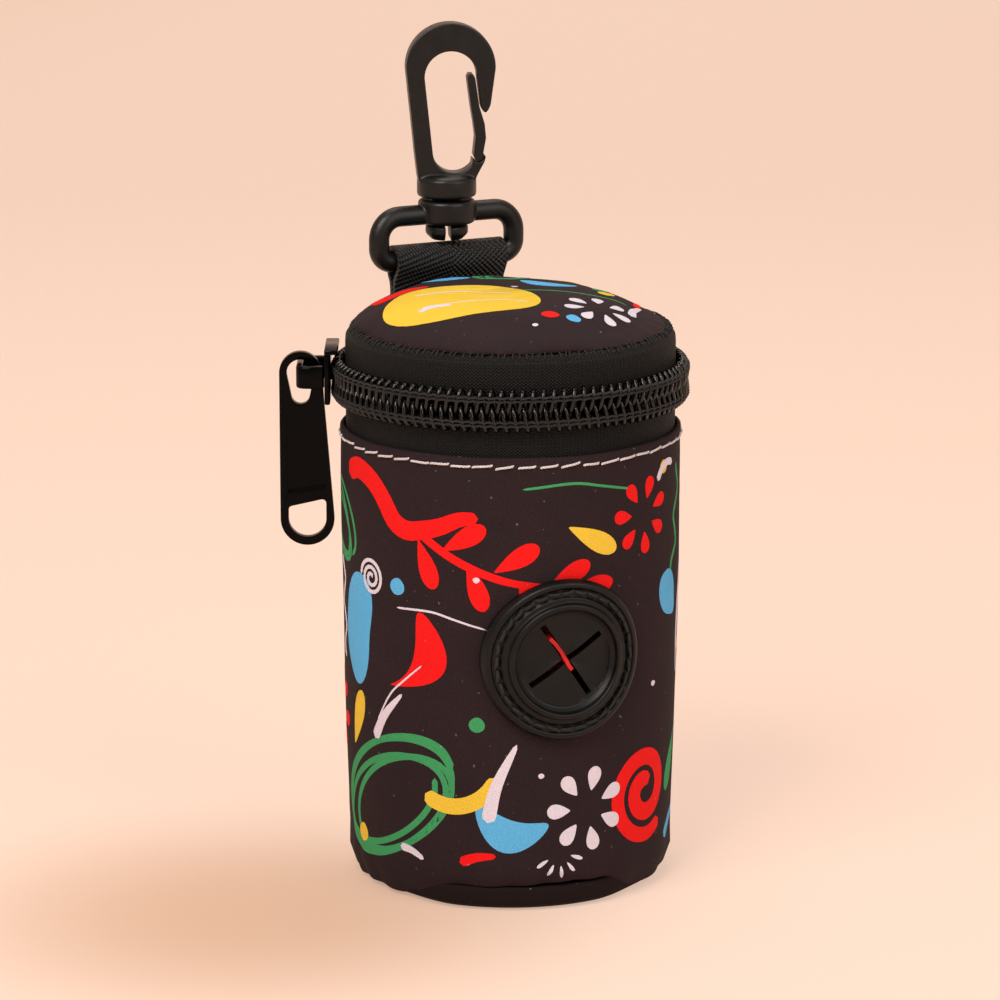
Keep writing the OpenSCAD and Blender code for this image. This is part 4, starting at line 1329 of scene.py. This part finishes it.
# each motif is modelled once, flat, in millimetres
MOTIFS = {
    "ribbon": lambda: stroke(wave_line(30, 3.4, 1.25), 5.0, 0.3, 0.6),
    "sprig": lambda: sprig(15.0, 1.7),
    "petals": lambda: fan(7, 8.2, 4.6, 1.75, 0.72, 360),
    "fat_spiral": lambda: stroke(spiral_line(1.2, 8.0, 1.75), 3.3, 0.1, 0.3),
    "thin_spiral": lambda: stroke(spiral_line(0.5, 4.0, 2.5), 0.8),
    "comma": lambda: patch(4.0, 7.2, bend=4.6, point=0.8),
    "puddle": lambda: patch(5.2, 9.0, 0.16, 5),
    "pond": lambda: patch(8.6, 13.0, 0.08, 7),
    "small_puddle": lambda: patch(3.1, 5.2, 0.14, 8),
    "bean": lambda: patch(2.9, 6.4, 0.03, 2, bend=3.2),
    "drop": lambda: patch(2.6, 6.0, point=0.72),
    "dot": lambda: patch(1.35, 1.35, 0.05, 3),
    "speck": lambda: patch(0.45, 0.42, 0.1, 4),
    "bow": lambda: stroke(arc_points(0, 0, 9.5, 38, 142, 10), 3.1),
    "small_bow": lambda: stroke(arc_points(0, 0, 5.0, 38, 142, 10), 1.6),
    "dash": lambda: stroke([(-3.0, 0), (0, 0.4), (3.0, 0)], 1.8, 0.1, 0.6),
    "long_brush": lambda: stroke([(-12.5, -0.8), (-4, 0.6), (4, 0.5), (12.5, -0.5)], 2.9, 0.8, 0.2),
    "brush": lambda: stroke([(-7.5, -1.4), (-1, 0.5), (7.0, 1.1)], 2.8, 0.1, 0.8),
    "hair": lambda: stroke([(-9.5, -0.8), (-2, 0.6), (3, 0.3), (9.5, -0.4)], 0.6, 0.4, 0.5),
    "rays": lambda: fan(5, 6.0, 3.0, 0.5, 0.5, 130),
    "thin_wave": lambda: stroke(wave_line(20, 1.3, 2.25), 0.85),
    "loops": lambda: stroke(loops_line(12.5, 7.6, 4), 1.0),
    "small_loops": lambda: stroke(loops_line(6.4, 4.0, 3), 0.7),
    "leaf": lambda: patch(2.2, 5.2, point=0.9),
}

# dye, then motif, along the wall from the outlet, height, turn in degrees and size
WALL_PRINT = {
    "green": (
        ("loops", -30, 15.5, 14, 1), ("hair", 3, 65.8, -6, 1), ("thin_wave", 25.5, 57, 82, 0.9),
        ("dot", -13.5, 29.5, 0, 0.9), ("leaf", 26.5, 19, -24, 1), ("small_loops", -45, 57, -60, 1),
        ("loops", 60, 44, -50, 0.9), ("leaf", -66, 36, -20, 1.2), ("rays", 75, 14, 80, 1), ("hair", 40, 47, 76, 1),
        ("dot", 44, 24, 0, 1.1), ("small_loops", -76, 62, 10, 0.9),
    ),
    "blue": (
        ("puddle", -37.5, 41.5, -12, 0.92), ("small_puddle", 22.8, 46.2, 34, 0.86), ("bean", -8.5, 13.5, 74, 0.92),
        ("dot", -27, 49.6, 0, 1), ("puddle", -62, 17, 24, 0.9), ("dash", 27.5, 8.5, 30, 1.2),
        ("puddle", 50, 62, -76, 0.8), ("bean", 68, 27, 130, 1), ("drop", -57, 58, 40, 0.9),
        ("small_puddle", 43, 9.5, 70, 0.9),
    ),
    "red": (
        ("ribbon", -27, 61.8, -14, 0.9), ("sprig", -12, 53.6, -20, 0.95), ("petals", 14.4, 60, 8, 0.74),
        ("comma", -23.5, 39, 152, 0.95), ("fat_spiral", 16.4, 16.4, 40, 0.95), ("dash", -13.5, 8.2, 12, 1),
        ("petals", -49, 26, 80, 0.8), ("ribbon", 46, 38, 76, 0.95), ("fat_spiral", -71, 49, 0, 0.85),
        ("comma", 71, 59, 30, 0.9), ("petals", 61, 12, 10, 0.9), ("ribbon", 79, 38, 95, 0.8),
    ),
    "yellow": (
        ("bow", -17.6, 24.2, 196, 0.82), ("drop", 4.6, 57.8, 62, 0.76), ("drop", -38, 26.8, 160, 0.8),
        ("small_bow", 28, 31.5, -60, 1.1), ("dot", -37.5, 8.5, 0, 1.1), ("dot", 20, 66.5, 0, 0.8),
        ("drop", 55, 25, 70, 0.9), ("bow", -59, 66, 190, 0.7), ("bean", 38, 60, 100, 0.8),
        ("drop", -50, 10, -50, 0.8), ("bow", 70, 42, 30, 0.7), ("dot", -53, 42, 0, 1.2),
    ),
    "white": (
        ("brush", -9.6, 20.6, 60, 0.9), ("brush", -29.5, 29, 42, 0.7), ("rays", -0.5, 9.2, 6, 0.7),
        ("thin_spiral", -33, 49.9, 0, 0.74), ("hair", -19.5, 45.8, -9, 0.8), ("long_brush", 29, 41, 84, 0.7),
        ("petals", 4.2, 15.6, 12, 0.82), ("hair", -27.5, 33.2, 46, 0.72), ("speck", -13.5, 52, 0, 1.1),
        ("speck", -8, 48.5, 0, 0.9), ("speck", 18, 33, 0, 1.1), ("small_bow", 21.5, 63.5, 20, 0.7),
        ("thin_wave", -44, 43, 92, 0.8), ("dash", -25, 8, -16, 0.8), ("speck", -3.5, 21.5, 0, 1),
        ("rays", -57, 30, 40, 0.9), ("thin_spiral", 54, 52, 0, 0.9), ("brush", 52, 15, -40, 0.9),
        ("long_brush", 64, 33, 50, 0.8), ("thin_wave", -75, 28, 20, 0.9), ("speck", 38, 30, 0, 1.4),
        ("small_bow", 36, 68, 20, 0.6), ("brush", -73, 10, 10, 0.9), ("hair", 77, 58, 70, 1),
    ),
}

# the same on the lid, across and back from the middle of the dome
LID_PRINT = {
    "green": (
        ("small_loops", 3, 13.5, 24, 0.8), ("leaf", 17.5, 5, -40, 0.8), ("hair", 9.5, -3.5, -16, 0.9),
    ),
    "blue": (
        ("bean", 7.5, 4.5, 60, 0.7), ("dot", 4.6, -17.4, 0, 0.9), ("small_puddle", -6.5, 13.5, 60, 0.8),
    ),
    "red": (
        ("comma", -16.5, 9.5, 40, 0.8), ("dash", 21, -3, 70, 0.9), ("dot", 1, -16.2, 0, 1),
    ),
    "yellow": (
        ("pond", -9.8, -4.6, 72, 1), ("dot", 15.5, -1, 0, 1), ("drop", 13, 13, 40, 0.8),
    ),
    "white": (
        ("petals", 10.2, -12.6, 10, 0.68), ("brush", 18.6, -8.4, 50, 0.6), ("dash", -14.5, -7, -12, 0.9),
        ("hair", -6.5, -7.6, -14, 0.7), ("hair", -8, -1.2, -22, 0.8), ("speck", 1, 1, 0, 1.1),
        ("thin_wave", 12, 16, -20, 0.7), ("speck", -2.5, -19.5, 0, 1),
    ),
}


class POUCH_OT_print(bpy.types.Operator):
    """Printed motifs on the wall and the lid: strokes, drops and loops of dye that follow the cloth"""

    bl_idname = "pouch.print"
    bl_label = "Cloth Print"

    def execute(self, context):
        masters = {kind: make() for kind, make in MOTIFS.items()}
        steps = 60
        rises = [dome_rise(i / steps) * (DOME_TOP - DOME_Z) for i in range(steps + 1)]
        arcs = [0.0]
        for i in range(steps):
            arcs.append(arcs[-1] + hypot(DOME_R / steps, rises[i + 1] - rises[i]))

        def round_wall(co):
            radius, angle = wall_r(co.y / MM) * MM + 0.4 * MM, co.x / HEM_R
            return Vector((radius * sin(angle), -radius * cos(angle), co.y))

        def over_lid(co):
            # arc length from the middle becomes a place on the dome's curve
            reach, turn = min(co.length, arcs[-1] * 0.999), atan2(co.y, co.x)
            k = max(i for i in range(steps) if arcs[i] <= reach)
            part = (reach - arcs[k]) / (arcs[k + 1] - arcs[k])
            r = DOME_R * (k + part) / steps
            z = DOME_Z + rises[k] + (rises[k + 1] - rises[k]) * part + 0.4 * MM
            return Vector((r * cos(turn), r * sin(turn), z))

        for place, body, target, wrap, dyes, lift in (
            ("wall", "pouch", "pouch_cloth", round_wall, WALL_PRINT, 0.02),
            ("lid", "lid", "lid_dome", over_lid, LID_PRINT, 0.05),
        ):
            for order, (dye, placings) in enumerate(dyes.items()):
                sheet = joined(f"print_{place}_{dye}", [
                    moved(copy_of(masters[kind]), shift(x * MM, y * MM, 0) @ turned(turn) @ Matrix.Scale(size, 4))
                    for kind, x, y, turn, size in placings
                ])
                if place == "lid":
                    modified(sheet, "SUBSURF", subdivision_type="SIMPLE", levels=1, render_levels=1)
                reshape(sheet, wrap)
                modified(
                    sheet, "SHRINKWRAP", target=bpy.data.objects[target], wrap_method="NEAREST_SURFACEPOINT",
                    wrap_mode="ABOVE_SURFACE", offset=(lift + 0.012 * order) * MM,
                )
                modified(sheet, "SOLIDIFY", thickness=0.05 * MM, offset=-1)
                outward(sheet, weld=False)
                finished(sheet, 50, body, None, "dye_" + dye)
        for master in masters.values():
            bpy.data.objects.remove(master)
        return {"FINISHED"}


# ---- stage ----

# name, azimuth and elevation in degrees, distance and size in metres, watts
LAMPS = (
    ("key_softbox", -50, 44, 0.85, 0.5, 6.6),
    ("fill_softbox", 30, 30, 0.95, 0.7, 4.2),
    ("top_softbox", 160, 70, 0.9, 0.6, 3.4),
    ("spark", -38, 52, 0.8, 0.06, 0.5),
)


class POUCH_OT_stage(bpy.types.Operator):
    """Peach floor that curves up into a backdrop, soft studio lamps and the camera"""

    bl_idname = "pouch.stage"
    bl_label = "Floor, Lamps and Camera"

    def execute(self, context):
        scene = context.scene
        back, curve = 1.1, 0.45
        turns = [radians(90 * step / 12) for step in range(13)]
        sweep = line(
            "floor", [Vector((0, -2.2, 0))]
            + [Vector((0, back - curve + curve * sin(a), curve - curve * cos(a))) for a in turns]
            + [Vector((0, back, 2.4))]
        )
        with editing(sweep):
            bpy.ops.transform.translate(value=(-3, 0, 0))
            bpy.ops.mesh.extrude_region_move(TRANSFORM_OT_translate={"value": (6, 0, 0)})
            bpy.ops.mesh.select_all(action="SELECT")
            bpy.ops.mesh.normals_make_consistent(inside=False)
        if sweep.data.polygons[0].normal.z < 0:
            sweep.data.flip_normals()
        smooth(sweep, 60)
        sweep.rotation_euler.z = VIEW_TURN
        sweep.data.materials.append(floor_finish(scene.pouch_colours))

        scene.view_settings.view_transform = "Standard"
        scene.world = bpy.data.worlds.new("studio")
        scene.world.use_nodes = True
        background = scene.world.node_tree.nodes["Background"]
        background.inputs["Color"].default_value = linear("#FFF1E6")
        background.inputs["Strength"].default_value = scene.pouch_sizes.fill_light
        target = Vector((0, 0, 0.06))
        for name, azimuth, elevation, distance, size, power in LAMPS:
            light = bpy.data.lights.new(name, "AREA")
            light.shape = "RECTANGLE"
            light.size = light.size_y = size
            light.energy = power
            light.color = linear("#FFF8F0")[:3]
            lamp = bpy.data.objects.new(name, light)
            bpy.context.collection.objects.link(lamp)
            a, e = radians(azimuth), radians(elevation)
            lamp.location = target + distance * Vector((sin(a) * cos(e), -cos(a) * cos(e), sin(e)))
            lamp.rotation_euler = (target - lamp.location).to_track_quat("-Z", "Y").to_euler()

        data = bpy.data.cameras.new("camera")
        data.sensor_width, data.lens = 36, 167.8
        data.clip_start, data.clip_end = 0.01, 20
        camera = bpy.data.objects.new("camera", data)
        bpy.context.collection.objects.link(camera)
        side = Vector((cos(VIEW_TURN), sin(VIEW_TURN), 0))
        away = Vector((sin(VIEW_TURN), -cos(VIEW_TURN), 0))
        camera.location = 0.700 * away - 0.0016 * side + Vector((0, 0, 0.2202))
        camera.rotation_euler = (pi / 2 - radians(13.01), 0, VIEW_TURN)
        scene.camera = camera
        return {"FINISHED"}


# ---- panel ----

def length(name, description, millimetres):
    return bpy.props.FloatProperty(
        name=name, description=description, default=millimetres * MM, unit="LENGTH", subtype="DISTANCE", precision=5
    )


def number(name, description, default, least):
    return bpy.props.IntProperty(name=name, description=description, default=default, min=least)


def colour(name, description, hex_colour):
    return bpy.props.FloatVectorProperty(
        name=name, description=description, subtype="COLOR", default=linear(hex_colour)[:3]
    )


class PouchSizes(bpy.types.PropertyGroup):
    wall: length("Wall", "Thickness of the padded cloth", 2.2)
    lid_pad: length("Lid Padding", "Thickness of the padded lid", 2.0)
    hem_stitches: number("Hem Stitches", "Number of stitches round the hem", 49, 12)
    stitch_length: length("Stitch Length", "Length of one hem stitch", 2.9)
    thread: length("Thread", "Thickness of the topstitch thread", 0.36)
    seam_loops: number("Seam Loops", "Loops of thread that overcast the lid's seam", 150, 20)
    outlet_stitches: number("Outlet Stitches", "Number of stitches round the outlet", 32, 8)
    outlet_stitch_radius: length("Outlet Stitch Radius", "Radius of the stitch line in the outlet's groove", 10.6)
    slit_length: length("Slit Length", "Length of each slit in the outlet", 13.3)
    slit_width: length("Slit Width", "Width of each slit in the outlet", 0.9)
    slit_tilt: bpy.props.FloatProperty(name="Slit Tilt", description="Tilt of the first slit, in degrees", default=34.0)
    coil_turns: number("Coil Turns", "Turns of each zip coil", 76, 20)
    coil_wire: length("Coil Wire", "Thickness of the coils' wire", 0.64)
    webbing_width: length("Webbing Width", "Width of the loop's webbing", 18.9)
    pull_length: length("Pull Length", "Length of the zip pull below its bridge", 26.8)
    fill_light: bpy.props.FloatProperty(
        name="Fill Light", description="Strength of the studio's even light", default=0.4
    )


class PouchColours(bpy.types.PropertyGroup):
    cloth: colour("Cloth", "Ground colour of the printed cloth", "#26181C")
    red: colour("Red", "Red dye", "#D41011")
    yellow: colour("Yellow", "Yellow dye", "#D2B23A")
    blue: colour("Blue", "Blue dye", "#56A3D3")
    green: colour("Green", "Green dye", "#388C58")
    white: colour("White", "White dye", "#C9C3D1")
    floor: colour("Floor", "Floor and backdrop", "#FADBC8")


STEPS = (
    POUCH_OT_walls, POUCH_OT_stitches, POUCH_OT_tapes, POUCH_OT_coils, POUCH_OT_outlet, POUCH_OT_lid, POUCH_OT_webbing,
    POUCH_OT_slider, POUCH_OT_ring, POUCH_OT_hook, POUCH_OT_gate, POUCH_OT_bags, POUCH_OT_print, POUCH_OT_stage,
)


class POUCH_PT_panel(bpy.types.Panel):
    """Sizes, colours and the steps that make the pouch"""

    bl_label = "Bag Pouch"
    bl_idname = "POUCH_PT_panel"
    bl_space_type = "VIEW_3D"
    bl_region_type = "UI"
    bl_category = "Bag Pouch"

    def draw(self, context):
        layout = self.layout
        for group in (context.scene.pouch_sizes, context.scene.pouch_colours):
            box = layout.box()
            for name in group.bl_rna.properties.keys():
                if name not in ("rna_type", "name"):
                    box.prop(group, name)
        for step in STEPS:
            layout.operator(step.bl_idname)


CLASSES = (PouchSizes, PouchColours) + STEPS + (POUCH_PT_panel,)


def register():
    for cls in CLASSES:
        bpy.utils.register_class(cls)
    bpy.types.Scene.pouch_sizes = bpy.props.PointerProperty(type=PouchSizes)
    bpy.types.Scene.pouch_colours = bpy.props.PointerProperty(type=PouchColours)


def unregister():
    del bpy.types.Scene.pouch_colours
    del bpy.types.Scene.pouch_sizes
    for cls in reversed(CLASSES):
        bpy.utils.unregister_class(cls)


def main():
    register()
    for step in STEPS:
        area, name = step.bl_idname.split(".")
        getattr(getattr(bpy.ops, area), name)()


if __name__ == "__main__":
    main()
